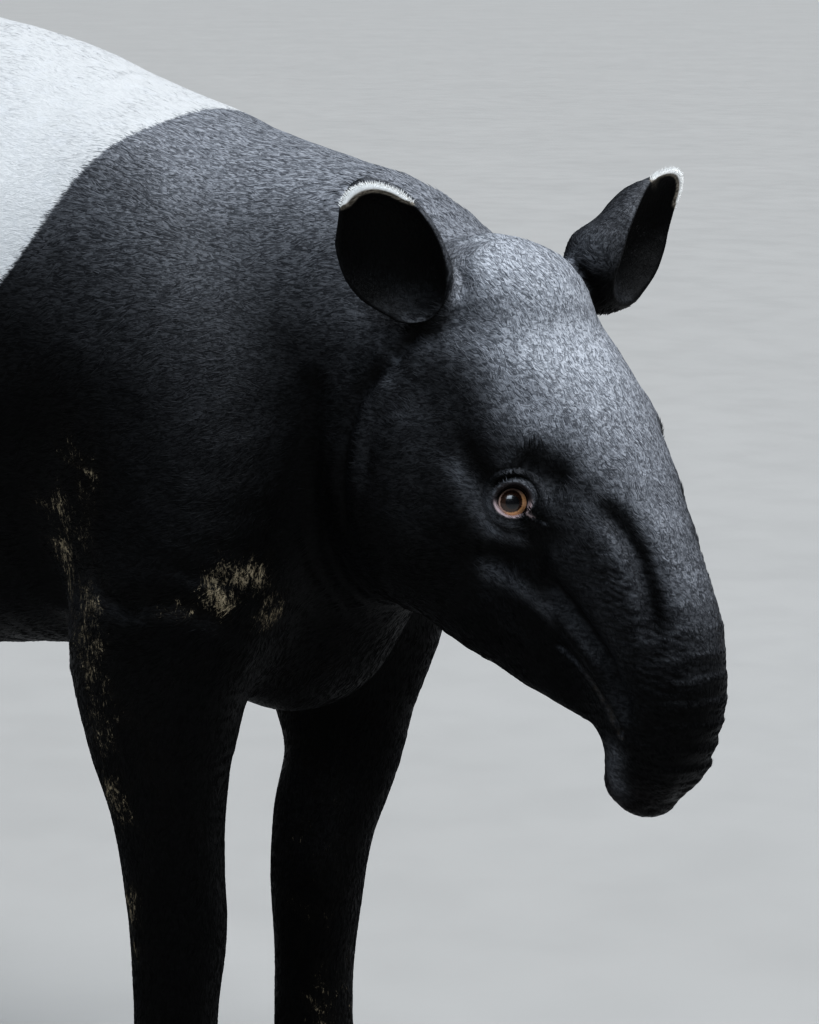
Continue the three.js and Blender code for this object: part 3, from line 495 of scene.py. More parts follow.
def clip(V, T, d, n, snap):
    """Keeps the side where d > 0 of a triangle mesh. n is the plane's normal, d the vertices' distances. Returns the mesh and which vertices lie on the plane."""
    V, d = V.copy(), d.copy()
    m = np.abs(d) < snap
    V[m] -= d[m, None] * n
    d[m] = 0
    pos, neg = (d > 0)[T], (d < 0)[T]
    keep = ~neg.any(1) & pos.any(1)
    cross = T[neg.any(1) & pos.any(1)]
    cut, extra, tris = {}, [], []
    base = len(V)

    def on(a, b):
        k = (min(a, b), max(a, b))
        if k not in cut:
            t = d[a] / (d[a] - d[b])
            cut[k] = base + len(extra)
            extra.append(V[a] + t * (V[b] - V[a]))
        return cut[k]

    for tri in cross.tolist():
        poly = []
        for i in range(3):
            a, b = tri[i], tri[(i + 1) % 3]
            if d[a] >= 0:
                poly.append(a)
            if d[a] * d[b] < 0:
                poly.append(on(a, b))
        for i in range(1, len(poly) - 1):
            tris.append((poly[0], poly[i], poly[i + 1]))
    V = np.vstack([V, np.array(extra).reshape(-1, 3)])
    d = np.r_[d, np.zeros(len(extra))]
    T = np.vstack([T[keep], np.array(tris, int).reshape(-1, 3)])
    used = np.unique(T)
    back = -np.ones(len(V), int)
    back[used] = np.arange(len(used))
    return V[used], back[T], d[used] == 0


def rim_loop(T):
    """The longest loop of edges that only one triangle has, in order."""
    e = np.vstack([T[:, [0, 1]], T[:, [1, 2]], T[:, [2, 0]]])
    have = set(map(tuple, e.tolist()))
    nxt = {a: b for a, b in have if (b, a) not in have}
    best = []
    while nxt:
        a0 = next(iter(nxt))
        loop, a = [], a0
        while a in nxt:
            loop.append(a)
            a = nxt.pop(a)
        if len(loop) > len(best):
            best = loop
    return best


def zip_loops(V, A, B, o, ex, ey, n):
    """Triangles between two loops that both go once round o in the plane ex, ey."""
    def sort(loop):
        p = V[loop] - o
        th = np.arctan2(p @ ey, p @ ex)
        if np.sum(np.diff(np.unwrap(th))) < 0:
            loop, th = loop[::-1], th[::-1]
        k = int(np.argmin(th))
        loop, th = loop[k:] + loop[:k], np.r_[th[k:], th[:k]]
        return loop, np.maximum.accumulate(np.unwrap(th))

    (A, a), (B, b) = sort(list(A)), sort(list(B))
    na, nb, i, j, out = len(A), len(B), 0, 0, []
    while i < na or j < nb:
        ta = (a[i + 1] if i + 1 < na else a[0] + 2 * math.pi) if i < na else 1e9
        tb = (b[j + 1] if j + 1 < nb else b[0] + 2 * math.pi) if j < nb else 1e9
        if ta <= tb:
            out.append((A[i % na], A[(i + 1) % na], B[j % nb]))
            i += 1
        else:
            out.append((A[i % na], B[(j + 1) % nb], B[j % nb]))
            j += 1
    out = np.array(out)
    nn = np.cross(V[out[:, 1]] - V[out[:, 0]], V[out[:, 2]] - V[out[:, 0]])
    if np.sum(nn * (V[out[:, 0]] - o)) < 0:
        out = out[:, ::-1]
    return out


def refine(V, T, size):
    """Splits every edge that is longer than size asks at its middle."""
    E = np.sort(T[:, [0, 1, 1, 2, 2, 0]].reshape(-1, 2), 1)
    key = E[:, 0].astype(np.int64) * len(V) + E[:, 1]
    uk, inv = np.unique(key, return_inverse=True)
    a, b = uk // len(V), uk % len(V)
    mid = (V[a] + V[b]) / 2
    m = np.linalg.norm(V[a] - V[b], axis=1) > size(mid)
    new = -np.ones(len(uk), int)
    new[m] = len(V) + np.arange(m.sum())
    V2 = np.vstack([V, mid[m]])
    e = new[inv.reshape(-1)].reshape(-1, 3)
    n = (e >= 0).sum(1)
    out = [T[n == 0]]
    t, x = T[n == 3], e[n == 3]
    out += [np.c_[t[:, 0], x[:, 0], x[:, 2]], np.c_[x[:, 0], t[:, 1], x[:, 1]], np.c_[x[:, 2], x[:, 1], t[:, 2]], x]
    for k in range(3):
        s = (n == 1) & (e[:, k] >= 0)
        t, x = np.roll(T[s], -k, 1), e[s, k]
        out += [np.c_[t[:, 0], x, t[:, 2]], np.c_[x, t[:, 1], t[:, 2]]]
        s = (n == 2) & (e[:, k] < 0)
        t, x = np.roll(T[s], -(k + 1), 1), np.roll(e[s], -(k + 1), 1)
        out += [np.c_[x[:, 0], t[:, 1], x[:, 1]], np.c_[t[:, 0], x[:, 0], x[:, 1]], np.c_[t[:, 0], x[:, 1], t[:, 2]]]
    return V2, np.vstack(out), int(m.sum())


def normals(V, T):
    fn = np.cross(V[T[:, 1]] - V[T[:, 0]], V[T[:, 2]] - V[T[:, 0]])
    n = np.zeros_like(V)
    for k in range(3):
        for c in range(3):
            n[:, c] += np.bincount(T[:, k], fn[:, c], len(V))
    return unit(n)


def neighbours(T, n):
    e = np.vstack([T[:, [0, 1]], T[:, [1, 2]], T[:, [2, 0]]])
    e = np.vstack([e, e[:, ::-1]])
    deg = np.bincount(e[:, 0], minlength=n)
    return e, np.maximum(deg, 1)


def relax(V, T, N, rounds=2, push=0.5):
    """Evens out the triangles along the surface."""
    e, deg = neighbours(T, len(V))
    for _ in range(rounds):
        m = np.stack([np.bincount(e[:, 0], V[e[:, 1], c], len(V)) for c in range(3)], 1) / deg[:, None]
        d = (m - V) * push
        V = V + d - N * (d * N).sum(1)[:, None]
    return V


# ------------------------------------------------------------------ where things are on the animal
def line_distance(p, pts):
    """Distance from each p to a line of points, and how far along it the nearest place is, from 0 to 1."""
    best, where = np.full(len(p), 1e9), np.zeros(len(p))
    n = len(pts) - 1
    for i in range(n):
        a, ab = pts[i], pts[i + 1] - pts[i]
        t = np.clip(((p - a) @ ab) / (ab @ ab), 0, 1)
        d = np.linalg.norm(p - a - t[:, None] * ab, axis=1)
        m = d < best
        best[m], where[m] = d[m], (i + t[m]) / n
    return best, where


def eye_place(p, eye):
    """Where p is in the eye's own frame: across to the muzzle, up, out, and how far from the middle of the lids' opening, where its edge is 1."""
    s, c, g, a1, a2 = eye
    q = p - c
    x, y, z = q @ a1, q @ a2, q @ g
    u, v = x - LID[2], y - LID[3]
    r = np.sqrt((u / LID[0]) ** 2 + (v / LID[1]) ** 2)
    return x, y, z, r


def ear_place(p, e):
    q = p - e[0]
    return q @ e[3], q @ e[2], q @ e[1]


def zones(p):
    """How much each place belongs to the head, the face, the legs, the feet and the ears."""
    h = HEAD.inv(p)
    head = step(-150, -60, h[:, 0])
    face = step(10, 110, h[:, 0]) * step(-80, -150, h[:, 2])
    legs = (1 - step(470, 620, p[:, 2])) * (1 - head)
    feet = (1 - step(70, 150, p[:, 2])) * (1 - head)
    ears = np.zeros(len(p))
    for e in EARS:
        x, y, z = ear_place(p, e)
        ears = np.maximum(ears, step(18, 45, z) * (np.abs(x) < 62) * (np.abs(y) < 56) * (z < 200))
    return head, face, legs, feet, ears


def coat_depth(p):
    head, face, legs, feet, ears = zones(p)
    d = 2.6 - 1.1 * head - 0.5 * face - 1.0 * legs * (1 - head) - 0.4 * feet
    return np.maximum(d * (1 - ears) + 0.9 * ears, 0.8)


def below(p):
    return -coat_depth(p)


# lines of the head: x, |y|, z in the head's frame, then depth (minus for a ridge) and width
CREASES = [
    ([(106, 84, -169), (120, 79, -178), (134, 72, -186), (152, 62, -198)], 9.0, 16),
    ([(172, 52, -206), (182, 46, -215), (196, 40, -231), (208, 37, -250), (219, 37, -276), (226, 37, -300), (228, 37, -330)], 8.0, 10),
    ([(121, 68, -272), (132, 65, -282), (161, 57, -311), (185, 51, -339), (199, 47, -372), (203, 43, -398)], 8.5, 9),
    ([(67, 66, -283), (101, 62, -293), (133, 56, -313), (166, 52, -338), (182, 48, -364)], -5.0, 10),
    ([(51, 77, -265), (72, 70, -268), (113, 72, -258), (138, 71, -246)], 6.5, 11),
    ([(62, 82, -238), (84, 80, -244), (107, 79, -238)], -3.0, 7),
    ([(-14, 99, -66), (-24, 99, -84), (-40, 101, -106)], 6.0, 7),
    ([(-32, 100, -102), (-56, 106, -120), (-72, 111, -140), (-82, 116, -172), (-88, 117, -208), (-88, 113, -249), (-80, 101, -285)], 4.5, 9),
    ([(-12, 100, -108), (-36, 106, -126), (-52, 111, -146), (-62, 115, -174), (-66, 118, -208), (-64, 114, -246)], -3.6, 11),
    ([(-116, 118, -110), (-122, 120, -140), (-126, 124, -190), (-133, 115, -254), (-143, 98, -294)], 4.5, 14),
    ([(4, 53, -17), (15, 65, -31), (20, 80, -45), (14, 90, -59), (-3, 97, -73), (-27, 96, -87), (-33, 100, -100)], 4.6, 7),
    ([(208, 40, -432), (214, 42, -446), (214, 36, -462), (206, 20, -472), (204, 0, -474)], 4.5, 5.5),
    ([(182, 26, -470), (172, 36, -448), (170, 34, -424)], -2.2, 9),
]
# painted highlights on the head: x, |y|, z in the head's frame, then width and how much painted sheen each adds
PAINTED_HIGHLIGHTS = [
    ([(46, 94, -190), (58, 93, -205), (64, 88, -222), (70, 83, -236)], 13, 0.42),
    ([(80, 82, -244), (104, 77, -246)], 7, 0.30),
    ([(56, 69, -280), (80, 66, -287), (101, 62, -293), (122, 58, -306)], 9, 0.34),
    ([(182, 38, -423), (174, 33, -439), (180, 31, -450)], 12, 0.40),
    ([(150, 66, -250), (170, 60, -280), (188, 55, -310), (196, 52, -345), (196, 50, -380)], 16, 0.085),
    ([(10, 100, -150), (0, 104, -190), (-6, 106, -230)], 30, 0.045),
]
MOUTH = [(118, 47, -332), (126, 49, -337), (144, 47, -347), (163, 46, -361), (180, 46, -378), (193, 45, -396), (199, 34, -408), (200, 0, -414)]
NOSTRIL = [(226, 12, -462), (236, 19, -452), (238, 25, -438)]


def creases(p):
    """How far the skin dips at each place, in millimetres."""
    out = np.zeros(len(p))
    h = HEAD.inv(p)
    a = np.c_[h[:, 0], np.abs(h[:, 1]), h[:, 2]]

    def add(pts, depth, width):
        pts = np.asarray(pts, float)
        m = np.all((a > pts.min(0) - 3 * width) & (a < pts.max(0) + 3 * width), axis=1)
        if not m.any():
            return
        d, t = line_distance(a[m], pts)
        ends = np.clip(np.minimum(t, 1 - t) * 5, 0.25, 1)
        out[m] += depth * ends * np.exp(-(d / width) ** 2)

    for pts, depth, width in CREASES:
        add(pts, depth, width)
    d, t = line_distance(a, np.asarray(MOUTH, float))
    out += (h[:, 0] > 80) * step(0, 0.15, t) * (5.5 * np.exp(-(d / 2.6) ** 2) - 1.3 * np.exp(-((d - 6) / 3.5) ** 2))
    d, t = line_distance(a, np.asarray(NOSTRIL, float))
    out += (h[:, 0] > 150) * (9.0 * np.exp(-(d / 4.2) ** 2) - 1.4 * np.exp(-((d - 9) / 4) ** 2))
    # rings round the trunk-like nose, mostly over its front
    cx = np.interp(-h[:, 2], [230, 294, 350, 405, 452], [110, 155, 185, 194, 190])
    front = step(-20, 30, h[:, 0] - cx)
    span = step(-222, -262, h[:, 2]) * (1 - 0.8 * step(-365, -425, h[:, 2]))
    warp = rough(h / 26.0, 5) * 15 + 5 * noise(h / 9.0, 3)
    ph = (h[:, 2] + 0.22 * (h[:, 0] - cx) + warp) / 7.0 * 2 * math.pi
    ring = (0.5 + 0.5 * np.cos(ph)) ** 2.0
    nose = (h[:, 0] > 100) * span * (0.12 + 0.88 * front)
    nose = nose * (0.35 + 0.65 * step(3, 18, np.abs(h[:, 1])))
    out += 0.60 * nose * ring * (0.10 + 1.2 * noise(h / 17.0, 8))
    # finer cross lines on the muzzle's sides and tip
    tip = step(-330, -420, h[:, 2]) * (h[:, 0] > 120)
    out += 0.35 * tip * (noise(h / np.array([5.0, 5.0, 2.8]), 12) - 0.5) * 2
    # low swells under the hide of the brow, cheek and jaw
    head = step(-150, -60, h[:, 0])
    out += head * 1.6 * (rough(h / 34.0, 21) - 0.5) * 2
    # lids
    for eye in EYES:
        m = np.linalg.norm(p - eye[1], axis=1) < 70
        if not m.any():
            continue
        x, y, z, r = eye_place(p[m], eye)
        up = step(-4, 8, y)
        mm = (r - 1) * 13.5
        v = -1.3 * np.exp(-((mm - 2.2) / 1.7) ** 2) * (0.55 + 1.15 * up)
        v += (2.6 * up + 1.2 * (1 - up)) * (1 - 0.75 * step(4, 12, x)) * np.exp(-((mm - 5.4 - 0.6 * up) / 1.4) ** 2)
        v += -1.4 * np.exp(-((mm - 9.6) / 3.0) ** 2) * (0.5 + 0.5 * up)
        v += 0.9 * up * np.exp(-((mm - 14.0) / 1.6) ** 2)
        v += 0.35 * step(4, 9, mm) * (1 - step(14, 22, mm)) * np.cos(mm * 2.1 + 3 * rough(p[m] / 11.0, 31)) * (0.3 + 0.7 * (1 - up))
        v *= step(-3, 6, z)
        cd, ct = line_distance(np.c_[x, y], np.array([(18.0, -13.0), (23.0, -15.5), (29.0, -17.0)]))
        v += 1.5 * np.exp(-(cd / 1.5) ** 2) * step(-6, 4, z)
        out[m] += v * (1 - step(20, 34, mm))
    # the body's own folds: behind the elbow, over the foreleg, in the flank, and soft swells of muscle
    body = 1 - step(-160, -90, h[:, 0])
    b = np.c_[p[:, 0], np.abs(p[:, 1]), p[:, 2]]
    for pts, depth, width in (
        ([(-27, 212, 650), (-8, 221, 622), (27, 227, 610), (61, 226, 622), (87, 217, 618), (108, 198, 602), (122, 166, 580)], 4.5, 9),
        ([(-95, 175, 690), (-104, 172, 640), (-100, 160, 600), (-88, 150, 570)], 8, 15),
        ([(60, 224, 655), (95, 210, 648), (120, 185, 632)], 2.4, 7),
        ([(-745, 236, 700), (-770, 215, 640), (-790, 190, 590)], 7, 20),
        ([(-52, 150, 548), (-30, 185, 540), (-4, 200, 545)], 2.5, 8),
    ):
        pts = np.asarray(pts, float)
        m = np.all((b > pts.min(0) - 3 * width) & (b < pts.max(0) + 3 * width), axis=1)
        if m.any():
            d, t = line_distance(b[m], pts)
            out[m] += depth * np.clip(np.minimum(t, 1 - t) * 5, 0.2, 1) * np.exp(-(d / width) ** 2)
    out += body * 3.2 * (rough(p / 120.0, 41) - 0.5) * 2 * step(120, 300, p[:, 2])
    # skin wrinkled over the knees, hocks and pasterns
    low = (1 - step(170, 230, p[:, 2])) * step(50, 80, p[:, 2]) * (1 - step(-160, -90, h[:, 0]))
    out += low * 0.7 * (0.5 + 0.5 * np.cos((p[:, 2] + 8 * noise(p / 22.0, 51)) / 11.0 * 2 * math.pi)) * noise(p / 30.0, 52) * 1.6
    return out


def saddle(p):
    """Millimetres inside the edge of the pale saddle, at both its ends and its lower edge."""
    x, y, z = p.T
    drop = np.clip(1062 - z, 0, 800)
    front = -17 - 24 * (1 - np.exp(-(drop / 38) ** 2)) - 0.27 * drop - 0.0011 * drop ** 2 * (drop < 260) - np.where(drop >= 260, 74 + 0.22 * (drop - 260), 0) - x
    rear_edge = -1146 + 0.02 * (z - 900) + np.where(z < 800, (800 - z) * 1.15, 0) + np.where(z < 640, (640 - z) * 0.5, 0)
    rear = x - rear_edge
    low = z - 512 - 26 * np.exp(-((x + 600) / 200) ** 2) * 0
    tail = np.where(x < -1128, 60.0, rear)
    return np.minimum(np.minimum(front, tail), low + np.abs(y) * 0.25)


def mud(p):
    """How thickly dried mud lies, from 0 to 1."""
    out = np.zeros(len(p))

    def spot(c, r, k):
        d = np.sqrt((((p - np.array(c)) / np.array(r)) ** 2).sum(1))
        np.maximum(out, k * (1 - step(0.35, 1.0, d)), out=out)

    spot((118, -192, 640), (60, 60, 50), 0.94)
    spot((132, -160, 610), (40, 50, 34), 0.8)
    spot((74, -222, 618), (60, 40, 20), 0.62)
    spot((-58, -200, 655), (62, 60, 105), 0.80)
    spot((-30, -222, 735), (50, 50, 70), 0.62)
    spot((-30, -218, 590), (50, 50, 80), 0.88)
    spot((-22, -214, 500), (44, 46, 110), 0.82)
    spot((-24, -180, 400), (44, 44, 120), 0.76)
    spot((-28, -152, 290), (44, 40, 130), 0.70)
    spot((-26, -140, 170), (60, 60, 130), 0.6)
    spot((20, -214, 430), (60, 44, 130), 0.55)
    spot((30, 80, 300), (60, 60, 200), 0.46)
    spot((40, 100, 150), (60, 70, 130), 0.6)
    spot((128, -66, 548), (46, 40, 26), 0.4)
    # the other legs and the belly, as an animal of wet ground carries it
    for cx, cy in ((-930, -140), (-1060, 140)):
        spot((cx, cy, 190), (90, 80, 190), 0.55)
        spot((cx + 20, cy, 420), (90, 90, 130), 0.28)
    spot((-20, 190, 620), (70, 60, 80), 0.45)
    spot((0, 190, 470), (60, 50, 120), 0.4)
    feet = 1 - step(40, 130, p[:, 2])
    return np.maximum(out, 0.6 * feet)


def flow(p):
    """The way the hair lies: back along the body, down the legs, and on the head from the muzzle to the crown and cheeks."""
    h = HEAD.inv(p)
    head, face, legs, feet, ears = zones(p)
    trunk = np.tile(unit([-1.0, 0.0, -0.30]), (len(p), 1))
    back = step(900, 1060, p[:, 2])[:, None]
    trunk = trunk * (1 - back) + np.array([-1.0, 0, -0.05]) * back
    trunk[:, 1] += np.sign(p[:, 1]) * 0.05
    rump = step(-900, -1100, p[:, 0])[:, None]
    trunk = trunk * (1 - rump) + np.array([-0.6, 0, -0.8]) * rump
    leg = np.tile(unit([-0.22, 0, -1.0]), (len(p), 1))
    nose = step(-120, -260, h[:, 2])[:, None]
    cheek = (step(60, 110, np.abs(h[:, 1])) * (1 - step(40, 120, h[:, 0])))[:, None]
    hd = np.array([-0.80, 0, 0.42]) * (1 - nose) + np.array([-0.55, 0, 0.84]) * nose
    hd = hd * (1 - cheek) + np.array([-0.98, 0, -0.18]) * cheek
    hd = hd @ HEAD.R.T
    w = step(-190, -40, h[:, 0])[:, None]
    d = (trunk * (1 - legs[:, None]) + leg * legs[:, None]) * (1 - w) + hd * w
    for e in EARS:
        x, y, z = ear_place(p, e)
        m = (step(14, 36, z) * (np.abs(x) < 64) * (np.abs(y) < 56) * (z < 200))[:, None]
        up = unit(e[1][None] + e[3][None] * (x / 90)[:, None])
        d = d * (1 - m) + up * m
    return d


def ear_rim(p):
    """Nearness to an ear's edge, 1 on it, times how far up the ear that is, and how deep in the cup a place is."""
    rim, cup = np.zeros(len(p)), np.zeros(len(p))
    for e in EARS:
        x, y, z = ear_place(p, e)
        near = (np.abs(x) < 70) & (np.abs(y) < 60) & (z > -10) & (z < 190)
        if not near.any():
            continue
        q = p[near]
        c = e[7](q)
        o = e[6](q)
        edge = (1 - step(3.0, 6.5, c)) * np.clip(1 - (-o - 1.5) / (12.0 if e[8] < 0 else 7.5), 0, 1) * (c > -6) * (o < 9)
        a = z[near] / e[4] + (0.16 if e[8] < 0 else -0.10) * x[near] / e[5]
        high = step(0.78, 0.86, a) if e[8] < 0 else step(0.80, 0.87, a)
        inside = step(4.0, 1.5, c) * (o < 4) * (1 - 0.16 * step(0.34, 0.18, z[near] / e[4]))
        rim[near] = np.maximum(rim[near], edge * high)
        cup[near] = np.maximum(cup[near], inside)
    return rim, cup


def hem(p):
    """Where an ear's edge has no tufts, so that it stays crisp: narrow low down, wide at its white top."""
    out = np.zeros(len(p))
    for e in EARS:
        x, y, z = ear_place(p, e)
        near = (np.abs(x) < 70) & (np.abs(y) < 60) & (z > -10) & (z < 190)
        if not near.any():
            continue
        c, o = e[7](p[near]), e[6](p[near])
        wide = step(0.66, 0.80, z[near] / e[4])
        v = (c > -6) * (o < 9) * (c < 6.5 + 6.5 * wide) * (-o < 6.0 + 8.0 * wide)
        out[near] = np.maximum(out[near], v)
    return out


# ------------------------------------------------------------------ the skin, one closed mesh
CUT_X = -166.0
PLANE_N = HEAD.R[:, 0]
PLANE_O = HEAD.to((CUT_X, 0, -160))


def plane(p):
    return (p - PLANE_O) @ PLANE_N


STEP_BODY, STEP_HEAD = ((9.5, 3.4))


def shifted(p):
    return flesh(p) + 2.4


def shifted_head(p):
    return flesh(p) + 1.2


body_v, body_t = nets(shifted, [-1300, -330, -12], [360, 330, 1190], STEP_BODY, 4, STEP_BODY)
head_v, head_t = nets(shifted_head, [80, -345, 400], [640, 150, 1125], STEP_HEAD, 5, STEP_HEAD)
body_v, head_v = settle(flesh, body_v, below, 2), settle(flesh, head_v, below, 1)
gap = 0.5 * STEP_BODY
body_v, body_t, _ = clip(body_v, body_t, -(plane(body_v) + gap), PLANE_N, 0.2 * STEP_BODY)
head_v, head_t, _ = clip(head_v, head_t, plane(head_v), PLANE_N, 0.2 * STEP_HEAD)


def biggest(V, T):
    """The mesh's largest connected piece."""
    lab = np.arange(len(V))
    e = np.vstack([T[:, [0, 1]], T[:, [1, 2]]])
    while True:
        low = np.minimum(lab[e[:, 0]], lab[e[:, 1]])
        new = lab.copy()
        np.minimum.at(new, e[:, 0], low)
        np.minimum.at(new, e[:, 1], low)
        new = new[new]
        if (new == lab).all():
            break
        lab = new
    top = np.bincount(lab[T[:, 0]]).argmax()
    return compact(V, T[lab[T[:, 0]] == top])


body_v, body_t = biggest(body_v, body_t)
head_v, head_t = biggest(head_v, head_t)
loop_a, loop_b = rim_loop(body_t), [i + len(body_v) for i in rim_loop(head_t)]
V = np.vstack([body_v, head_v])
T = np.vstack([body_t, head_t + len(body_v)])
o = V[loop_a].mean(0)
ex = unit(np.cross([0, 0, 1.0], PLANE_N))
ey = np.cross(PLANE_N, ex)
T = np.vstack([T, zip_loops(V, loop_a, loop_b, o, ex, ey, PLANE_N)])
print("skin: body", len(body_v), "head", len(head_v), "loops", len(loop_a), len(loop_b))


def wanted(p):
    """The longest edge wanted at each place."""
    h = HEAD.inv(p)
    head = h[:, 0] > CUT_X - 8
    s = np.where(head, 6.0, 1.9 * STEP_BODY)
    near = np.abs(plane(p)) < 14
    s[near] = 8.0
    nose = head & (h[:, 2] < -225) & (h[:, 0] > 120)
    s[nose] = 3.4
    s[head & (h[:, 2] < -325) & (h[:, 0] > 110)] = 3.1
    s[head & (h[:, 2] < -245) & (h[:, 2] > -400) & (h[:, 0] > np.interp(-h[:, 2], [230, 294, 350, 405], [130, 175, 205, 212]))] = 2.5
    for eye in EYES:
        x, y, z, r = eye_place(p, eye)
        d = np.linalg.norm(p - eye[1], axis=1)
        k = (d < 48) & (z > -14)
        s[k & (r < 2.7)] = 2.3
        s[k & (r < 1.9)] = 1.35
        s[k & (r < 1.45) & (r > 0.85)] = 0.95
    for e in EARS:
        x, y, z = ear_place(p, e)
        m = (np.abs(x) < 64) & (np.abs(y) < 56) & (z > 0) & (z < 190)
        q = p[m]
        k = (np.abs(e[7](q)) < 9) & (np.abs(e[6](q)) < 12)
        t = s[m]
        t[k] = 2.6
        s[m] = t
    feet = (p[:, 2] < 105) & ~head
    s[feet] = 6.5
    return s


for _ in range(4):
    before = len(V)
    V, T, made = refine(V, T, wanted)
    if made:
        V[before:] = settle(flesh, V[before:], below, 1, e=0.5, most=2.5)
    if made < 50:
        break
N = normals(V, T)
near_plane = np.abs(plane(V)) < 40
moved = relax(V, T, N, 2, 0.5)
V = settle(flesh, moved, below, 1, e=0.4, most=1.2)
keep = V.copy()
e_all, deg = neighbours(T, len(V))
calm = step(610, 720, V[:, 2]) * step(-15, -60, plane(V)) * (1 - step(-1080, -1120, V[:, 0]))
for _ in range(22):
    mean = np.stack([np.bincount(e_all[:, 0], V[e_all[:, 1], c], len(V)) for c in range(3)], 1) / deg[:, None]
    V = V + (mean - V) * (0.55 * calm)[:, None]
moved = V - keep
far = np.linalg.norm(moved, axis=1)
V = keep + moved * np.minimum(1, 3.0 / np.maximum(far, 1e-6))[:, None]
N = normals(V, T)
V = V - N * spread(creases, V)[:, None]
V[:, 2] = np.maximum(V[:, 2], 0.0)
N = normals(V, T)
print("skin:", len(V), "points,", len(T), "triangles")


# ------------------------------------------------------------------ meshes and their numbers
def make(name, verts, tris, smooth=True, scale=True):
    me = bpy.data.meshes.new(name)
    v = metres(verts) if scale else verts
    me.vertices.add(len(v))
    me.vertices.foreach_set("co", np.ascontiguousarray(v, np.float32).ravel())
    me.loops.add(3 * len(tris))
    me.loops.foreach_set("vertex_index", np.ascontiguousarray(tris, np.int32).ravel())
    me.polygons.add(len(tris))
    me.polygons.foreach_set("loop_start", np.arange(0, 3 * len(tris), 3, dtype=np.int32))
    me.update(calc_edges=True)
    me.polygons.foreach_set("use_smooth", np.full(len(tris), smooth))
    me.validate()
    ob = bpy.data.objects.new(name, me)
    bpy.context.scene.collection.objects.link(ob)
    return ob


def number(ob, name, values):
    a = ob.data.attributes.new(name, "FLOAT", "POINT")
    a.data.foreach_set("value", np.ascontiguousarray(values, np.float32))


def lid_mask(p):
    """Bare, pinkish skin at the edges of the lids, and the dark wet corner."""
    out = np.zeros(len(p))
    for eye in EYES:
        m = np.linalg.norm(p - eye[1], axis=1) < 40
        x, y, z, r = eye_place(p[m], eye)
        mm = (r - 1) * 13.5
        lower = 0.05 + 0.95 * step(4, -3, y)
        cd, ct = line_distance(np.c_[x, y], np.array([(11.0, -9.0), (18.0, -13.0)]))
        v = (1 - step(1.6, 3.2, mm)) * lower
        v = np.maximum(v, 0.45 * np.exp(-(cd / 1.2) ** 2))
        out[m] = np.maximum(out[m], v * (z > -4))
    return out


def mouth_mask(p):
    h = HEAD.inv(p)
    a = np.c_[h[:, 0], np.abs(h[:, 1]), h[:, 2]]
    d, t = line_distance(a, np.asarray(MOUTH, float))
    lip = np.exp(-((d - 3.2) / 1.1) ** 2) * step(0.25, 0.5, t) * (h[:, 0] > 120)
    return lip


def tip_mask(p):
    h = HEAD.inv(p)
    return step(-425, -470, h[:, 2]) * (h[:, 0] > 120)


def painted_light(p, n):
    """How grey the hair is painted: a painted sheen where it faces up, on the nape, crown, brow and the bridge of the
    nose, jet black below, with painted shade in the creases and round the eyes and painted highlights on the swells.
    """
    h = HEAD.inv(p)
    head, face, legs, feet, ears = zones(p)
    nh = n @ HEAD.R
    up = n[:, 2] * (1 - head) + (0.90 * n[:, 2] + (0.42 - 0.40 * step(-255, -400, h[:, 2])) * nh[:, 0]) * head
    b = np.clip((up + 0.10) / 1.10, 0, 1) ** 1.7
    nose = step(-260, -330, h[:, 2]) * (h[:, 0] > 100)
    b = b * (1 - 0.25 * nose) * (1 - 0.35 * legs)
    brow = head * step(-210, -120, h[:, 2]) * step(-70, 0, h[:, 0]) * (1 - step(60, 95, np.abs(h[:, 1])))
    brow = brow * (0.78 + 0.50 * step(-125, -70, h[:, 2]))
    b = b * (1 + 1.35 * brow) * (1 + 0.42 * (1 - head) * step(880, 1000, p[:, 2]))
    # painted shade in the hollows, painted highlight on the swells
    a = np.c_[h[:, 0], np.abs(h[:, 1]), h[:, 2]]
    for pts, depth, width in CREASES:
        pts = np.asarray(pts, float)
        m = np.all((a > pts.min(0) - 3 * width) & (a < pts.max(0) + 3 * width), axis=1)
        if m.any():
            d, t = line_distance(a[m], pts)
            k = np.exp(-(d / (width * 1.1)) ** 2) * np.clip(np.minimum(t, 1 - t) * 6, 0.3, 1)
            if depth > 0:
                b[m] *= 1 - 0.95 * min(depth / 7.0, 1) * k
            else:
                b[m] = b[m] * (1 + 0.5 * k) + 0.015 * k
    # painted highlights along the lines listed above
    for pts, width, k in PAINTED_HIGHLIGHTS:
        pts = np.asarray(pts, float)
        m = np.all((a > pts.min(0) - 2 * width) & (a < pts.max(0) + 2 * width), axis=1)
        if m.any():
            d, t = line_distance(a[m], pts)
            b[m] += k * np.exp(-(d / width) ** 2)
    # less painted sheen on the ears, with a little on their up-facing sides
    b = b * (1 - 0.50 * ears)
    b = np.maximum(b, 0.16 * ears * step(-0.2, 0.8, n[:, 2]))
    # round each eye: painted shade at the upper lid's edge and in the crease above it, painted highlight on the upper
    # lid's ridge and on the skin below and behind the eye
    for eye in EYES:
        m = np.linalg.norm(p - eye[1], axis=1) < 48
        if not m.any():
            continue
        x, y, z, r = eye_place(p[m], eye)
        mm = (r - 1) * 13.5
        top = step(-3, 6, y + 0.35 * x)
        b[m] = b[m] * (1 - 0.75 * np.exp(-((mm - 1.2) / 1.3) ** 2) * top)
        b[m] = np.maximum(b[m], 0.60 * step(-6, 3, y + 0.10 * x) * np.exp(-((mm - 3.0) / 1.5) ** 2))
        b[m] *= 1 - 0.8 * step(0, 6, y) * (1 - 0.8 * step(4, 12, x)) * np.exp(-((mm - 6.4) / 1.3) ** 2)
        low = step(0.0, 0.7, (-0.80 * x - 0.60 * y) / np.maximum(np.hypot(x, y), 1))
        b[m] = np.maximum(b[m], 0.36 * low * np.exp(-((mm - 7.0) / 7.0) ** 2))
    return b


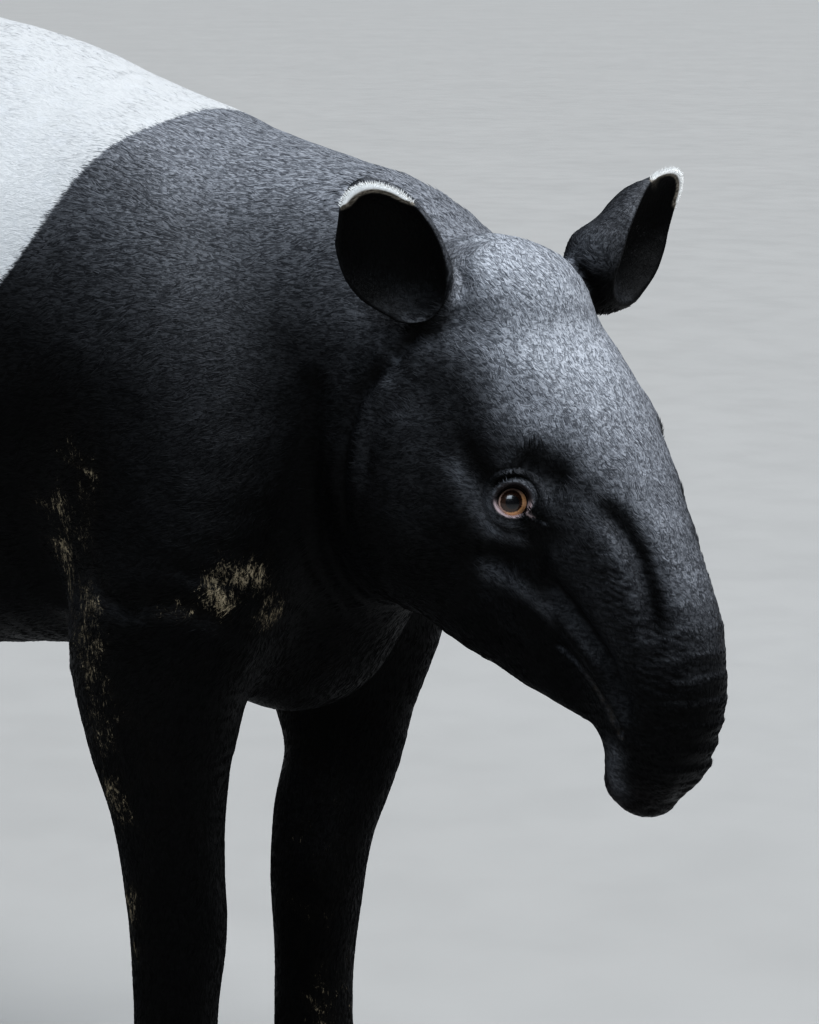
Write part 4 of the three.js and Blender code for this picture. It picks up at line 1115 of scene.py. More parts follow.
def numbers(ob, p, n, rnd=None):
    number(ob, "painted_light", painted_light(p, n))
    rim, cup = ear_rim(p)
    number(ob, "edge", saddle(p))
    number(ob, "mud", mud(p))
    number(ob, "rim", rim)
    number(ob, "cup", cup)
    number(ob, "bare", lid_mask(p))
    number(ob, "lip", mouth_mask(p))
    number(ob, "tip", tip_mask(p))
    head, face, legs, feet, ears = zones(p)
    number(ob, "head", head)
    number(ob, "legs", legs)
    if rnd is not None:
        number(ob, "rnd", rnd)


# ------------------------------------------------------------------ materials
class Nodes:
    """Short names for building a material's nodes."""

    def __init__(self, name):
        self.mat = bpy.data.materials.new(name)
        self.mat.use_nodes = True
        self.t = self.mat.node_tree
        self.t.nodes.clear()
        self.out = self.t.nodes.new("ShaderNodeOutputMaterial")
        self.bsdf = self.t.nodes.new("ShaderNodeBsdfPrincipled")
        self.t.links.new(self.bsdf.outputs[0], self.out.inputs[0])

    def put(self, sock, v):
        if isinstance(v, bpy.types.NodeSocket):
            self.t.links.new(v, sock)
        elif v is not None:
            sock.default_value = v

    def set(self, **kw):
        for k, v in kw.items():
            self.put(self.bsdf.inputs[k.replace("_", " ")], v)

    def attr(self, name):
        n = self.t.nodes.new("ShaderNodeAttribute")
        n.attribute_name = name
        return n.outputs["Fac"]

    def where(self):
        return self.t.nodes.new("ShaderNodeTexCoord").outputs["Object"]

    def math(self, op, a, b=None, c=None, clamp=False):
        n = self.t.nodes.new("ShaderNodeMath")
        n.operation, n.use_clamp = op, clamp
        for i, v in enumerate((a, b, c)):
            if v is not None:
                self.put(n.inputs[i], v)
        return n.outputs[0]

    def range(self, v, a, b, c=0.0, d=1.0, smooth=True):
        n = self.t.nodes.new("ShaderNodeMapRange")
        n.interpolation_type = "SMOOTHSTEP" if smooth else "LINEAR"
        for i, x in enumerate((v, a, b, c, d)):
            self.put(n.inputs[i], x)
        return n.outputs[0]

    def map(self, v, scale=(1, 1, 1), rot=(0, 0, 0), loc=(0, 0, 0)):
        n = self.t.nodes.new("ShaderNodeMapping")
        n.vector_type = "POINT"
        self.put(n.inputs["Vector"], v)
        n.inputs["Scale"].default_value = scale
        n.inputs["Rotation"].default_value = rot
        n.inputs["Location"].default_value = loc
        return n.outputs[0]

    def noise(self, v, scale, detail=3.0, roughness=0.55, distortion=0.0):
        n = self.t.nodes.new("ShaderNodeTexNoise")
        self.put(n.inputs["Vector"], v)
        n.inputs["Scale"].default_value = scale
        n.inputs["Detail"].default_value = detail
        n.inputs["Roughness"].default_value = roughness
        n.inputs["Distortion"].default_value = distortion
        return n.outputs["Fac"]

    def mix(self, f, a, b, kind="MIX"):
        n = self.t.nodes.new("ShaderNodeMix")
        n.data_type, n.blend_type = "RGBA", kind
        self.put(n.inputs["Factor"], f)
        for sock, v in ((n.inputs[6], a), (n.inputs[7], b)):
            self.put(sock, v if not isinstance(v, tuple) else v + (1.0,) * (4 - len(v)))
        return n.outputs[2]

    def blend(self, f, a, b):
        n = self.t.nodes.new("ShaderNodeMix")
        n.data_type = "FLOAT"
        self.put(n.inputs["Factor"], f)
        self.put(n.inputs[2], a)
        self.put(n.inputs[3], b)
        return n.outputs[0]

    def bump(self, height, strength, distance, normal=None):
        n = self.t.nodes.new("ShaderNodeBump")
        n.inputs["Strength"].default_value = strength
        n.inputs["Distance"].default_value = distance
        self.put(n.inputs["Height"], height)
        if normal is not None:
            self.put(n.inputs["Normal"], normal)
        return n.outputs[0]


def hide(name, tufts):
    """The skin's material, or the coat's with tufts: black fur with painted sheen and painted shade, the pale saddle,
    dried mud and the bare edges, all from the same numbers.
    """
    m = Nodes(name)
    pos = m.where()
    ragged = m.noise(pos, 85, 4, 0.65)
    soft = m.noise(pos, 14, 3)
    edge = m.attr("edge")
    edge = m.math("ADD", edge, m.math("MULTIPLY", m.math("SUBTRACT", ragged, 0.5), 8.0))
    if tufts:
        edge = m.math("ADD", edge, m.math("MULTIPLY", m.math("SUBTRACT", m.attr("rnd"), 0.5), 3.0))
    pale = m.range(edge, -2.5, 3.0)
    painted_light = m.attr("painted_light")
    if tufts:
        grain = m.attr("rnd")
    else:
        lie = m.noise(m.map(pos, (0.34, 1.0, 1.0), (0, math.radians(-20), math.radians(12))), 360, 3, 0.6, 0.8)
        grain = m.range(lie, 0.36, 0.64)
    black = m.mix(grain, (0.0010, 0.0010, 0.0011), (0.0046, 0.0046, 0.0049))
    # painted sheen: the black hair is painted grey, and silver where the painted sheen is strongest
    grey = m.mix(grain, (0.074, 0.077, 0.086), (0.275, 0.284, 0.308))
    patchy = m.range(m.noise(pos, 9, 3, 0.6), 0.30, 0.70, 0.82, 1.12)
    silver = m.mix(grain, (0.15, 0.157, 0.172), (0.47, 0.485, 0.52))
    black = m.mix(m.math("MULTIPLY", painted_light, patchy, clamp=False), black, grey)
    black = m.mix(m.range(painted_light, 0.95, 2.3, 0.0, 0.9), black, silver)
    white = m.mix(grain, (0.55, 0.553, 0.556), (0.64, 0.641, 0.642))
    # painted shade: the white is painted greyer where it faces up
    white = m.mix(m.range(m.attr("painted_light"), 0.25, 1.2, 0.0, 0.6), white, (0.44, 0.443, 0.445))
    fleck = m.noise(pos, 52, 5, 0.7)
    white = m.mix(m.math("MULTIPLY", m.range(fleck, 0.50, 0.68), 0.30), white, (0.56, 0.57, 0.59))
    col = m.mix(pale, black, white)
    # ears: pale edge; black inside, the ear's own dark hair painted darkest as painted shade in the hollow
    col = m.mix(m.math("MULTIPLY", m.attr("cup"), 0.92), col, (0.0012, 0.0012, 0.0011) if not tufts else (0.0030, 0.0028, 0.0026))
    col = m.mix(m.range(m.attr("rim"), 0.04, 0.40), col, m.mix(grain, (0.10, 0.088, 0.072), (0.30, 0.27, 0.23)))
    col = m.mix(m.range(m.attr("rim"), 0.64, 0.90), col, (0.92, 0.92, 0.91))
    # lids' edges, lips and the moist tip of the nose
    col = m.mix(m.math("MULTIPLY", m.attr("bare"), 0.95), col, (0.64, 0.515, 0.52))
    col = m.mix(m.math("MULTIPLY", m.attr("lip"), m.range(ragged, 0.40, 0.62, 0.05, 0.40)), col, (0.085, 0.062, 0.040))
    col = m.mix(m.math("MULTIPLY", m.attr("tip"), m.range(soft, 0.35, 0.65, 0.15, 0.55)), col, (0.020, 0.016, 0.016))
    # dried mud: broken flecks that run with the hair
    stretched = m.map(pos, (1.0, 1.0, 0.36))
    m1 = m.noise(stretched, 240, 6, 0.84, 1.4)
    m2 = m.noise(m.map(pos, (1.0, 1.0, 0.62)), 32, 4, 0.72, 0.6)
    level = m.math("ADD", m.math("MULTIPLY", m1, 0.66), m.math("MULTIPLY", m2, 0.34))
    cut = m.math("SUBTRACT", 0.725, m.math("MULTIPLY", m.attr("mud"), 0.235))
    crust = m.range(m.math("SUBTRACT", level, cut), -0.010, 0.025)
    crust = m.math("MULTIPLY", crust, m.range(m.attr("mud"), 0.03, 0.15))
    if tufts:
        crust = m.math("MULTIPLY", crust, m.range(m.attr("rnd"), 0.02, 0.2, 0.35, 1.0))
    clay = m.mix(m.noise(pos, 130, 3), (0.17, 0.135, 0.085), (0.62, 0.54, 0.40))
    col = m.mix(m.math("MULTIPLY", crust, m.range(m2, 0.40, 0.66, 0.45, 1.0)), col, clay)
    # a thin brown film where the mud has dried off
    film = m.math("MULTIPLY", m.attr("mud"), m.range(m2, 0.40, 0.75, 0.0, 0.24))
    col = m.mix(film, col, (0.040, 0.029, 0.018))
    rough_black = m.range(soft, 0.35, 0.65, 0.44, 0.56)
    rough_all = m.blend(pale, rough_black, 0.72)
    rough_all = m.blend(m.math("MULTIPLY", m.attr("tip"), 0.6), rough_all, 0.34)
    rough_all = m.blend(m.math("MULTIPLY", m.attr("bare"), 0.9), rough_all, 0.27)
    rough_all = m.blend(crust, rough_all, 0.88)
    m.set(Base_Color=col, Roughness=rough_all)
    m.bsdf.inputs["Specular IOR Level"].default_value = 0.12
    m.bsdf.inputs["Sheen Weight"].default_value = 0.02
    m.bsdf.inputs["Sheen Roughness"].default_value = 0.40
    m.bsdf.inputs["Sheen Tint"].default_value = (0.75, 0.82, 1.0, 1.0)
    if not tufts:
        along = m.noise(m.map(pos, (0.30, 1.0, 1.0), (0, math.radians(-14), 0)), 330, 3, 0.6, 0.4)
        hd = m.map(pos, (1.0, 1.0, 0.30), (0, math.radians(-30), math.radians(20)))
        heads = m.noise(hd, 420, 3, 0.6, 0.5)
        down = m.noise(m.map(pos, (1.0, 1.0, 0.28)), 380, 3, 0.6, 0.3)
        hair = m.blend(m.attr("legs"), along, down)
        hair = m.blend(m.attr("head"), hair, heads)
        n1 = m.bump(hair, 0.85, 0.0011)
        n2 = m.bump(m.noise(pos, 95, 4, 0.6), 0.30, 0.0016, n1)
        n3 = m.bump(crust, 0.6, 0.0008, n2)
        m.set(Normal=n3)
    else:
        m.set(Normal=m.bump(m.noise(pos, 900, 2, 0.6), 0.20, 0.0004))
    return m.mat


skin_mat, coat_mat = hide("hide", False), hide("coat", True)

skin = make("skin", V, T)
numbers(skin, V, N)
skin.data.materials.append(skin_mat)
FLESH = [n for n in frame["nodes"] if not n.startswith(("hoof", "eye"))]
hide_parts(*FLESH)
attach(skin, "root")

# ------------------------------------------------------------------ eyes
def eye_material():
    m = Nodes("eye")
    r, ang = m.attr("ring"), m.attr("turn")
    pos = m.where()
    t = m.t.nodes.new("ShaderNodeCombineXYZ")
    m.put(t.inputs[0], m.math("MULTIPLY", m.attr("cx"), 26.0))
    m.put(t.inputs[1], m.math("MULTIPLY", m.attr("cy"), 26.0))
    m.put(t.inputs[2], m.math("MULTIPLY", r, 1.2))
    rays = m.noise(t.outputs[0], 1.0, 4, 0.7, 0.3)
    fine = m.noise(pos, 700, 3)
    iris_in = m.mix(rays, (0.016, 0.0072, 0.0045), (0.070, 0.028, 0.013))
    # the ring round the iris is its own colour, pinkish-tan toward the back and orange toward the lower front, with a
    # painted highlight making the lower front brighter
    ring = m.mix(rays, (0.62, 0.31, 0.14), (1.0, 0.66, 0.38))
    dim = m.mix(rays, (0.34, 0.23, 0.19), (0.66, 0.50, 0.43))
    ring = m.mix(m.range(ang, -0.35, 0.55), dim, ring)
    col = m.mix(m.range(r, 0.27, 0.34), (0.0010, 0.0016, 0.0040), iris_in)
    inner = m.range(ang, -0.8, 0.9, 0.545, 0.40)
    wobble = m.math("MULTIPLY", m.math("SUBTRACT", rays, 0.5), 0.09)
    col = m.mix(m.range(m.math("SUBTRACT", m.math("ADD", r, wobble), inner), 0.0, 0.075), col, ring)
    col = m.mix(m.range(r, 0.655, 0.705), col, (0.014, 0.009, 0.008))
    sclera = m.mix(m.noise(pos, 260, 5, 0.7), (0.16, 0.09, 0.075), (0.34, 0.23, 0.20))
    col = m.mix(m.range(r, 0.745, 0.80), col, sclera)
    m.set(Base_Color=col, Roughness=m.range(fine, 0.3, 0.7, 0.22, 0.32))
    m.bsdf.inputs["Specular IOR Level"].default_value = 0.55
    m.bsdf.inputs["Coat Weight"].default_value = 1.0
    m.bsdf.inputs["Coat Roughness"].default_value = 0.03
    m.bsdf.inputs["Coat IOR"].default_value = 1.45
    m.set(Normal=m.bump(rays, 0.10, 0.0002))
    return m.mat


eye_mat = eye_material()
for s, c, g, a1, a2 in EYES:
    nu, nv = 96, 72
    vs, tr, ring, turn, cx, cy = [], [], [], [], [], []
    th = np.pi * (np.arange(1, nv) / nv) ** 1.15
    ph = 2 * np.pi * np.arange(nu) / nu
    vs.append((0, 0, 1))
    for a in th:
        for b in ph:
            vs.append((math.sin(a) * math.cos(b), math.sin(a) * math.sin(b), math.cos(a)))
    vs.append((0, 0, -1))
    vs = np.array(vs)
    ang = np.arccos(np.clip(vs[:, 2], -1, 1))
    # the cornea stands a little proud of the ball
    rad = EYE_RADIUS - 0.25 + 0.9 * (1 - step(0.25, 0.80, ang))
    xyz = c + (vs[:, :1] * a1 + vs[:, 1:2] * a2 + vs[:, 2:3] * g) * rad[:, None]
    for j in range(nu):
        tr.append((0, 1 + j, 1 + (j + 1) % nu))
    for i in range(nv - 2):
        for j in range(nu):
            p0, p1 = 1 + i * nu + j, 1 + i * nu + (j + 1) % nu
            tr += [(p0, p0 + nu, p1 + nu), (p0, p1 + nu, p1)]
    last, first = len(vs) - 1, 1 + (nv - 2) * nu
    for j in range(nu):
        tr.append((first + j, last, first + (j + 1) % nu))
    tr = np.array(tr)
    if np.dot(np.cross(xyz[tr[0, 1]] - xyz[tr[0, 0]], xyz[tr[0, 2]] - xyz[tr[0, 0]]), g) < 0:
        tr = tr[:, ::-1]
    ob = make("eyeball_right" if s < 0 else "eyeball_left", xyz, tr)
    number(ob, "ring", ang)
    number(ob, "turn", (vs[:, 0] * 0.80 - vs[:, 1] * 0.60) / np.maximum(np.sin(ang), 0.05))
    number(ob, "cx", vs[:, 0] / np.maximum(np.sin(ang), 0.02) * 0.5)
    number(ob, "cy", vs[:, 1] / np.maximum(np.sin(ang), 0.02) * 0.5)
    ob.data.materials.append(eye_mat)
    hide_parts("eye_right" if s < 0 else "eye_left")
    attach(ob, "root")

# ------------------------------------------------------------------ hooves
def hoof_material():
    m = Nodes("hoof")
    pos = m.where()
    lines = m.noise(m.map(pos, (1.0, 1.0, 0.16)), 420, 4, 0.6)
    rings = m.attr("rings")
    base = m.mix(lines, (0.024, 0.020, 0.017), (0.090, 0.074, 0.058))
    col = m.mix(m.range(m.noise(pos, 45, 4, 0.65), 0.42, 0.68, 0.0, 0.8), base, (0.16, 0.13, 0.095))
    col = m.mix(m.range(m.attr("low"), 0.0, 1.0, 0.55, 0.0), col, (0.16, 0.122, 0.082))
    m.set(Base_Color=col, Roughness=m.range(lines, 0.3, 0.7, 0.42, 0.66))
    n1 = m.bump(lines, 0.45, 0.0007)
    m.set(Normal=m.bump(rings, 0.5, 0.0006, n1))
    m.bsdf.inputs["Specular IOR Level"].default_value = 0.4
    return m.mat


hoof_mat = hoof_material()
for name, at, yaw, w, l in HOOVES:
    f = Head(at, yaw)
    nu, nv = 56, 40
    vs = [(0, 0, 1)]
    for i in range(1, nv):
        a = math.pi * i / nv
        for j in range(nu):
            b = 2 * math.pi * j / nu
            vs.append((math.sin(a) * math.cos(b), math.sin(a) * math.sin(b), math.cos(a)))
    vs.append((0, 0, -1))
    tr = [(0, 1 + j, 1 + (j + 1) % nu) for j in range(nu)]
    for i in range(nv - 2):
        for j in range(nu):
            p0, p1 = 1 + i * nu + j, 1 + i * nu + (j + 1) % nu
            tr += [(p0, p0 + nu, p1 + nu), (p0, p1 + nu, p1)]
    tr += [(1 + (nv - 2) * nu + j, len(vs) - 1, 1 + (nv - 2) * nu + (j + 1) % nu) for j in range(nu)]
    vs, tr = np.array(vs), np.array(tr)
    r = np.array([27 * l, 20 * w, 30 * l]) * 0.985
    # blunter than an egg in front, as a worn nail is
    e = vs * (1 / (np.abs(vs) ** 2.5).sum(1) ** (1 / 2.5))[:, None]
    p = e * r + np.array([2, 0, 3])
    nrm = np.array([math.cos(math.radians(38)), 0, -math.sin(math.radians(38))])
    d = (p - np.array([-7, 0, 8])) @ nrm
    rings = 0.5 + 0.5 * np.cos(d / 4.4 * 2 * math.pi + 1.2 * noise(p / 9.0, 61))
    p = p * (1 + 0.010 * (rings - 0.5) * step(2, 6, d))[:, None]
    flare = step(30, 2, p[:, 2])[:, None] * np.array([0.035, 0.035, 0]) * p
    p = p + flare * (p[:, :1] > 0)
    back = d < 0.6
    p[back] -= (d[back] - 0.6)[:, None] * nrm      # its top edge, which the skin covers
    flat = p[:, 2] < 0
    p[:, 2] = np.where(flat, 0, p[:, 2])
    q = f.to(p)
    ob = make(name.replace("hoof", "nail"), q, tr)
    number(ob, "rings", rings)
    number(ob, "low", np.clip(p[:, 2] / 18, 0, 1))
    ob.data.materials.append(hoof_mat)
    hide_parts(name)
    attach(ob, "root")

# ------------------------------------------------------------------ the coat
RNG = np.random.default_rng(7)
corners = V[T]
area = 0.5 * np.linalg.norm(np.cross(corners[:, 1] - corners[:, 0], corners[:, 2] - corners[:, 0]), axis=1)
mid = corners.mean(1)
z_head, z_face, z_legs, z_feet, z_ears = zones(mid)
m_rim, m_cup = ear_rim(mid)
m_bare = lid_mask(mid)


def tuft_size(p):
    """Length and width of a tuft at each place, and how high its ridge and tip stand."""
    head, face, legs, feet, ears = zones(p)
    h = HEAD.inv(p)
    neck = step(-420, -160, h[:, 0]) * (1 - head)
    L = 11.0 - 0.6 * neck
    L = L * (1 - head) + 9.2 * head
    L = L - 1.6 * face * head
    trunk = head * step(-225, -285, h[:, 2]) * (h[:, 0] > 90)
    L = L * (1 - trunk) + 4.6 * trunk
    rim = np.exp(-((saddle(p) + 3) / 8.0) ** 2)
    L = L * (1 - 0.5 * rim)
    L = L * (1 - legs) + 8.6 * legs
    L = L * (1 - feet) + 6.6 * feet
    L = L * (1 - ears) + 5.0 * ears
    W = 0.165 * L + 0.25
    for eye in EYES:
        d = np.linalg.norm(p - eye[1], axis=1)
        k = 0.50 + 0.50 * step(22, 46, d)
        L, W = L * k, W * k
    return L, W, (0.12 * W + 0.12) * (1 - 0.5 * trunk), (0.018 * L + 0.06) * (1 - 0.6 * trunk)


Lm, Wm, _, _ = tuft_size(mid)
density = 1.0 / (Lm * Wm * 0.5)
density *= np.where(m_cup > 0.5, 0.35, 1.0)
density *= np.where(m_bare > 0.25, 0.0, 1.0) * (1 - hem(mid))
h_mid = HEAD.inv(mid)
a_mid = np.c_[h_mid[:, 0], np.abs(h_mid[:, 1]), h_mid[:, 2]]
density *= np.where((line_distance(a_mid, np.asarray(NOSTRIL, float))[0] < 6) & (h_mid[:, 0] > 150), 0, 1)
fn = np.cross(corners[:, 1] - corners[:, 0], corners[:, 2] - corners[:, 0])
down = fn[:, 2] / np.maximum(np.linalg.norm(fn, axis=1), 1e-9)
density *= np.where((mid[:, 2] < 7) | ((mid[:, 2] < 20) & (down < -0.7)), 0, 1)
for eye in EYES:      # nothing grows behind the lids
    q = mid - eye[1]
    density *= np.where(np.linalg.norm(q, axis=1) < EYE_RADIUS + 1.4, 0, 1)
total = (density * area).sum()
BUDGET = 330000
density *= BUDGET / total
print("coat: cover", round(float(BUDGET / total), 2))
count = np.floor(area * density + RNG.random(len(area))).astype(int)
tri = np.repeat(np.arange(len(T)), count)
n = len(tri)
b = RNG.random((n, 2))
over = b.sum(1) > 1
b[over] = 1 - b[over]
b = np.c_[1 - b.sum(1), b]
root = np.einsum("ij,ijk->ik", b, V[T[tri]])
nrm = unit(np.einsum("ij,ijk->ik", b, N[T[tri]]))
way = flow(root)
wave = (rough(root / 14.0, 71) - 0.5) * 1.7 + (rough(root / 70.0, 75) - 0.5) * 0.9 + RNG.normal(0, 0.13, n)
way = way - nrm * (way * nrm).sum(1)[:, None]
thin = np.linalg.norm(way, axis=1) < 0.12
way[thin] = np.cross(nrm[thin], [0, 1.0, 0])
way = unit(way)
side = np.cross(way, nrm)
way = way * np.cos(wave)[:, None] + side * np.sin(wave)[:, None]
side = np.cross(way, nrm)
L, W, up_m, up_t = tuft_size(root)
vary = 0.72 + 0.56 * RNG.random(n)
flat = step(-4, 8, saddle(root))
up_m, up_t, W = up_m * (1 - 0.55 * flat), up_t * (1 - 0.5 * flat), W * (1 + 0.20 * flat)
L, W = L * vary, W * (0.75 + 0.5 * RNG.random(n))
r_rim, r_cup = ear_rim(root)
stick = 0.6 + 0.9 * RNG.random(n) ** 2
up_t = up_t * stick
mid_along = 0.36 + 0.12 * RNG.random(n)
left = root - side * (W / 2)[:, None] - nrm * 0.22
right = root + side * (W / 2)[:, None] - nrm * 0.22
ridge = root + way * (L * mid_along)[:, None] + nrm * up_m[:, None]
tip = root + way * L[:, None] + nrm * up_t[:, None] + side * (RNG.normal(0, 0.10, n) * L)[:, None]
rnd = RNG.random(n)

# white bristles along the ears' edges, set on the edge and standing out from it
fringe = []
for e in EARS:
    bb, u, f, w, length, width, outer, hollow, s = e
    sel = np.nonzero((m_rim > 0.30))[0]
    x, y, z = ear_place(mid[sel], e)
    sel = sel[(np.abs(x) < 70) & (np.abs(y) < 60) & (z > 20) & (z < 190)]
    if not len(sel):
        continue
    cnt = np.floor(area[sel] * 1.6 * m_rim[sel] + RNG.random(len(sel))).astype(int)
    tt = np.repeat(sel, cnt)
    bq = RNG.random((len(tt), 2))
    oo = bq.sum(1) > 1
    bq[oo] = 1 - bq[oo]
    bq = np.c_[1 - bq.sum(1), bq]
    rt = np.einsum("ij,ijk->ik", bq, V[T[tt]])
    x, y, z = ear_place(rt, e)
    outw = unit(u[None] * (z / length - 0.30)[:, None] * 1.4 + w[None] * (x / width)[:, None] * 0.9 - f[None] * 0.35)
    nn = unit(np.einsum("ij,ijk->ik", bq, N[T[tt]]))
    dd = unit(outw * 0.95 + nn * 0.22 + RNG.normal(0, 0.16, (len(tt), 3)))
    fringe.append((rt, nn, dd, np.full(len(tt), s)))
fr = np.concatenate([x[0] for x in fringe])
fn_ = np.concatenate([x[1] for x in fringe])
fd = np.concatenate([x[2] for x in fringe])
fl = 2.2 + 2.0 * RNG.random(len(fr))
fs = unit(np.cross(fd, fn_ + 0.01))
fw = 0.55 + 0.35 * RNG.random(len(fr))
left = np.vstack([left, fr - fs * (fw / 2)[:, None] - fn_ * 0.3])
right = np.vstack([right, fr + fs * (fw / 2)[:, None] - fn_ * 0.3])
ridge = np.vstack([ridge, fr + fd * (fl * 0.4)[:, None] + fn_ * 0.30])
tip = np.vstack([tip, fr + fd * fl[:, None] + fn_ * 0.1 * fl[:, None]])
root = np.vstack([root, fr])
root_n = np.vstack([nrm, fn_])
rnd = np.r_[rnd, RNG.random(len(fr))]
white_hair = np.r_[np.zeros(n), np.ones(len(fr))]
print("coat:", len(root), "tufts,", len(fr), "of them ear fringe")

# the pieces, and each one's own unwrap of the skin
hr = HEAD.inv(root)
zh, zf, zl, zt, ze = zones(root)
LEGS = {"front_right": (0, -135), "front_left": (20, 125), "hind_right": (-905, -138), "hind_left": (-1035, 138)}
part = np.full(len(root), -1)
NAMES = ["coat_neck_right", "coat_neck_left", "coat_flank_right", "coat_flank_left", "coat_head_right", "coat_head_left", "coat_ears", "coat_forelegs", "coat_hindlegs", "coat_rump"]
is_ear = np.zeros(len(root), bool)
for e in EARS:
    x, y, z = ear_place(root, e)
    is_ear |= (z > 24) & (np.abs(x) < 64) & (np.abs(y) < 56) & (z < 200)
is_head = hr[:, 0] > -150
lowleg = root[:, 2] < 500
right_side = root[:, 1] < 0
part[is_ear] = 6
part[(part < 0) & is_head & (hr[:, 1] < 0)] = 4
part[(part < 0) & is_head] = 5
part[(part < 0) & lowleg & (root[:, 0] > -450)] = 7
part[(part < 0) & lowleg] = 8
part[(part < 0) & (root[:, 0] < -880)] = 9
part[(part < 0) & (root[:, 0] > -230) & right_side] = 0
part[(part < 0) & (root[:, 0] > -230)] = 1
part[(part < 0) & right_side] = 2
part[part < 0] = 3


def chart(k, p, h):
    """Places on an unwrap: round the body's, head's, legs' or ears' own axis, and along it."""
    if k in (0, 1, 2, 3):
        th = np.arctan2(np.abs(p[:, 1]), 830 - p[:, 2]) / np.pi
        x0, x1 = (-232, 330) if k < 2 else (-882, -228)
        return np.c_[(p[:, 0] - x0) / (x1 - x0), th]
    if k == 9:
        q = p - np.array([-880, 0, 800])
        return np.c_[np.arctan2(q[:, 1], q[:, 2] + 40) / (2 * np.pi) + 0.5, np.clip(-q[:, 0] / 380 * 0.7 + np.linalg.norm(q[:, 1:], axis=1) / 400 * 0.3, 0, 1)]
    if k in (4, 5):
        ax = unit([0.62, 0, -0.78])
        o = np.array([-60.0, 0, -100.0])
        q = h - o
        t = q @ ax
        up = q[:, 0] * 0.78 + q[:, 2] * 0.62
        th = np.arctan2(np.abs(q[:, 1]), -up) / np.pi
        return np.c_[(t + 190) / 640, th]
    if k == 6:
        out = np.zeros((len(p), 2))
        for i, e in enumerate(EARS):
            x, y, z = ear_place(p, e)
            m = (np.abs(x) < 64) & (np.abs(y) < 56) & (z > 20) & (z < 200)
            front = e[7](p) < 1.5
            out[m, 0] = (i * 2 + front[m] + 0.5 + 0.45 * x[m] / 64) / 4
            out[m, 1] = (z[m] - 20) / 150
        return out
    names = ("front_right", "front_left") if k == 7 else ("hind_right", "hind_left")
    out = np.zeros((len(p), 2))
    for i, nme in enumerate(names):
        cx, cy = LEGS[nme]
        m = (p[:, 1] < 0) == (cy < 0)
        out[m, 0] = (i + np.arctan2(p[m, 1] - cy, p[m, 0] - cx) / (2 * np.pi) + 0.5) / 2
        out[m, 1] = p[m, 2] / 500
    return out


PATCH = np.array([(-0.0015, -0.0010), (0.0015, -0.0010), (0.0, 0.0002), (0.0, 0.0020)])
coat_faces = 0
for k, name in enumerate(NAMES):
    sel = np.nonzero(part == k)[0]
    groups = [sel] if len(sel) <= 49000 else np.array_split(sel, math.ceil(len(sel) / 49000))
    for gi, ids in enumerate(groups):
        if not len(ids):
            continue
        m = len(ids)
        vv = np.stack([left[ids], right[ids], ridge[ids], tip[ids]], 1).reshape(-1, 3)
        vv[:, 2] = np.maximum(vv[:, 2], 0.3)
        base = (np.arange(m) * 4)[:, None]
        ff = np.stack([base + [0, 1, 2], base + [1, 3, 2], base + [0, 2, 3], base + [0, 3, 1]], 1).reshape(-1, 3)
        ob = make(name if len(groups) == 1 else "%s_%d" % (name, gi + 1), vv, ff, smooth=False)
        rp = root[ids]
        at = np.repeat(rp, 4, 0)
        numbers(ob, at, np.repeat(root_n[ids], 4, 0), np.repeat(rnd[ids], 4))
        if white_hair[ids].any():
            ob.data.attributes["rim"].data.foreach_set("value", np.maximum(np.repeat(white_hair[ids], 4), 0).astype(np.float32))
        uv = np.clip(chart(k, rp, hr[ids]), 0.004, 0.996)
        uvv = (uv[:, None, :] + PATCH[None]).reshape(-1, 2)
        layer = ob.data.uv_layers.new(name="OFBake")
        layer.data.foreach_set("uv", np.ascontiguousarray(uvv[ff.ravel()], np.float32).ravel())
        ob.data.materials.append(coat_mat)
        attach(ob, "root")
        coat_faces += len(ff)
print("coat faces", coat_faces, "whole", coat_faces + len(T))

# ------------------------------------------------------------------ floor, light and camera
def floor_material():
    m = Nodes("floor")
    pos = m.where()
    n = m.noise(pos, 1.4, 4, 0.5)
    m.set(Base_Color=m.mix(n, (0.385, 0.382, 0.375), (0.43, 0.426, 0.418)), Roughness=m.range(m.noise(pos, 6, 3), 0.3, 0.7, 0.6, 0.75))
    return m.mat


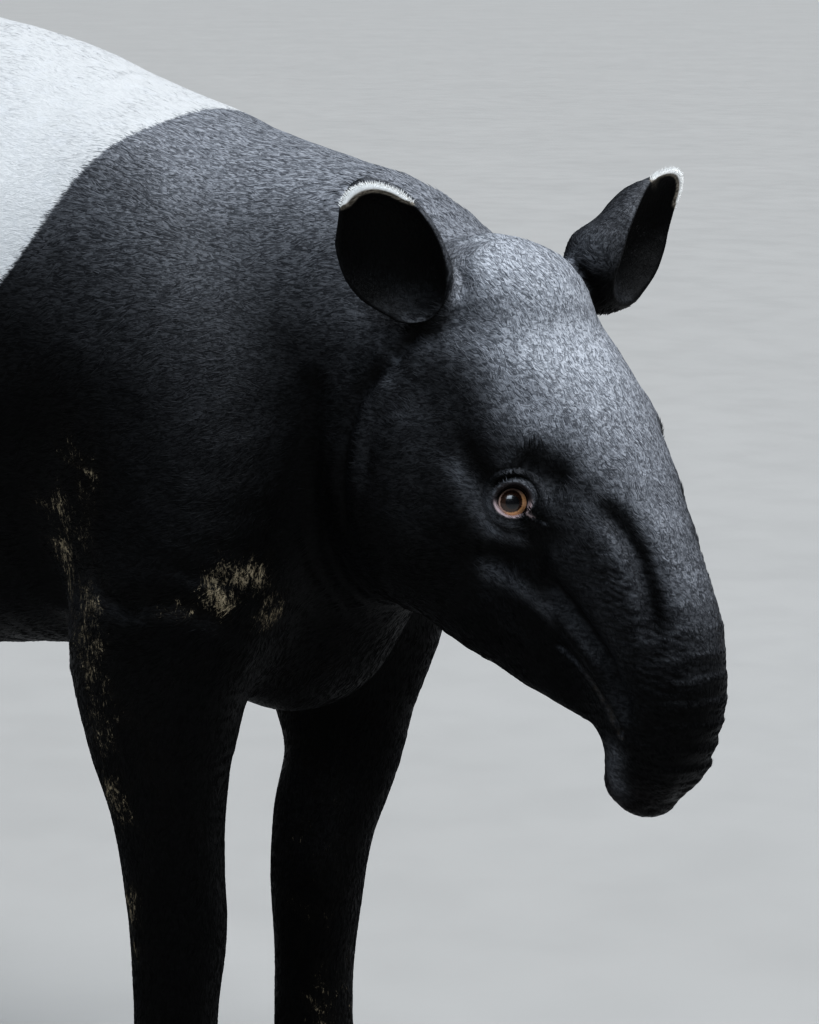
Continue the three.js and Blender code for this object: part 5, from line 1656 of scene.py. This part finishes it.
me = bpy.data.meshes.new("floor")
R, K = 60.0, 96
fv = [(0, 0, 0)] + [(R * math.cos(2 * math.pi * i / K), R * math.sin(2 * math.pi * i / K), 0) for i in range(K)]
me.from_pydata(fv, [], [(0, 1 + i, 1 + (i + 1) % K) for i in range(K)])
floor = bpy.data.objects.new("floor", me)
bpy.context.scene.collection.objects.link(floor)
me.materials.append(floor_material())


def area_light(name, at, to, size, power, colour=(1, 1, 1), size_y=None):
    d = bpy.data.lights.new(name, "AREA")
    d.energy, d.color = power, colour
    d.shape = "RECTANGLE"
    d.size, d.size_y = size, size_y or size
    ob = bpy.data.objects.new(name, d)
    ob.location = at
    ob.rotation_euler = (Vector(to) - Vector(at)).to_track_quat("-Z", "Y").to_euler()
    bpy.context.scene.collection.objects.link(ob)
    return ob


sky = bpy.data.lights.new("sky", "SUN")
sky.energy, sky.angle, sky.color = 3.35, math.radians(62), (0.93, 0.965, 1.0)
sky_ob = bpy.data.objects.new("sky", sky)
sky_ob.rotation_euler = Vector((-0.34, -0.14, -0.93)).to_track_quat("-Z", "Y").to_euler()
bpy.context.scene.collection.objects.link(sky_ob)
area_light("front", (0.90, -2.50, 2.65), (0.7, -0.19, 0.75), 1.6, 29, (0.80, 0.90, 1.0), 1.2)
world = bpy.data.worlds.new("studio")
bpy.context.scene.world = world
world.use_nodes = True
world.node_tree.nodes["Background"].inputs[0].default_value = (0.84, 0.89, 0.95, 1)
world.node_tree.nodes["Background"].inputs[1].default_value = 0.10

cam = bpy.data.cameras.new("camera")
cam.lens, cam.sensor_width, cam.sensor_fit = 3400 / 1024 * 36, 36, "AUTO"
cam.clip_start, cam.clip_end = 0.05, 200
camera = bpy.data.objects.new("camera", cam)
bpy.context.scene.collection.objects.link(camera)
az, el = math.radians(30), math.radians(10)
view = Vector((-math.sin(az) * math.cos(el), math.cos(az) * math.cos(el), -math.sin(el)))
camera.location = metres((1740, -2689, 1228))
camera.rotation_euler = view.to_track_quat("-Z", "Y").to_euler()
bpy.context.scene.camera = camera
bpy.context.scene.view_settings.view_transform = "Standard"
bpy.context.scene.view_settings.look = "High Contrast"

POOL.shutdown()
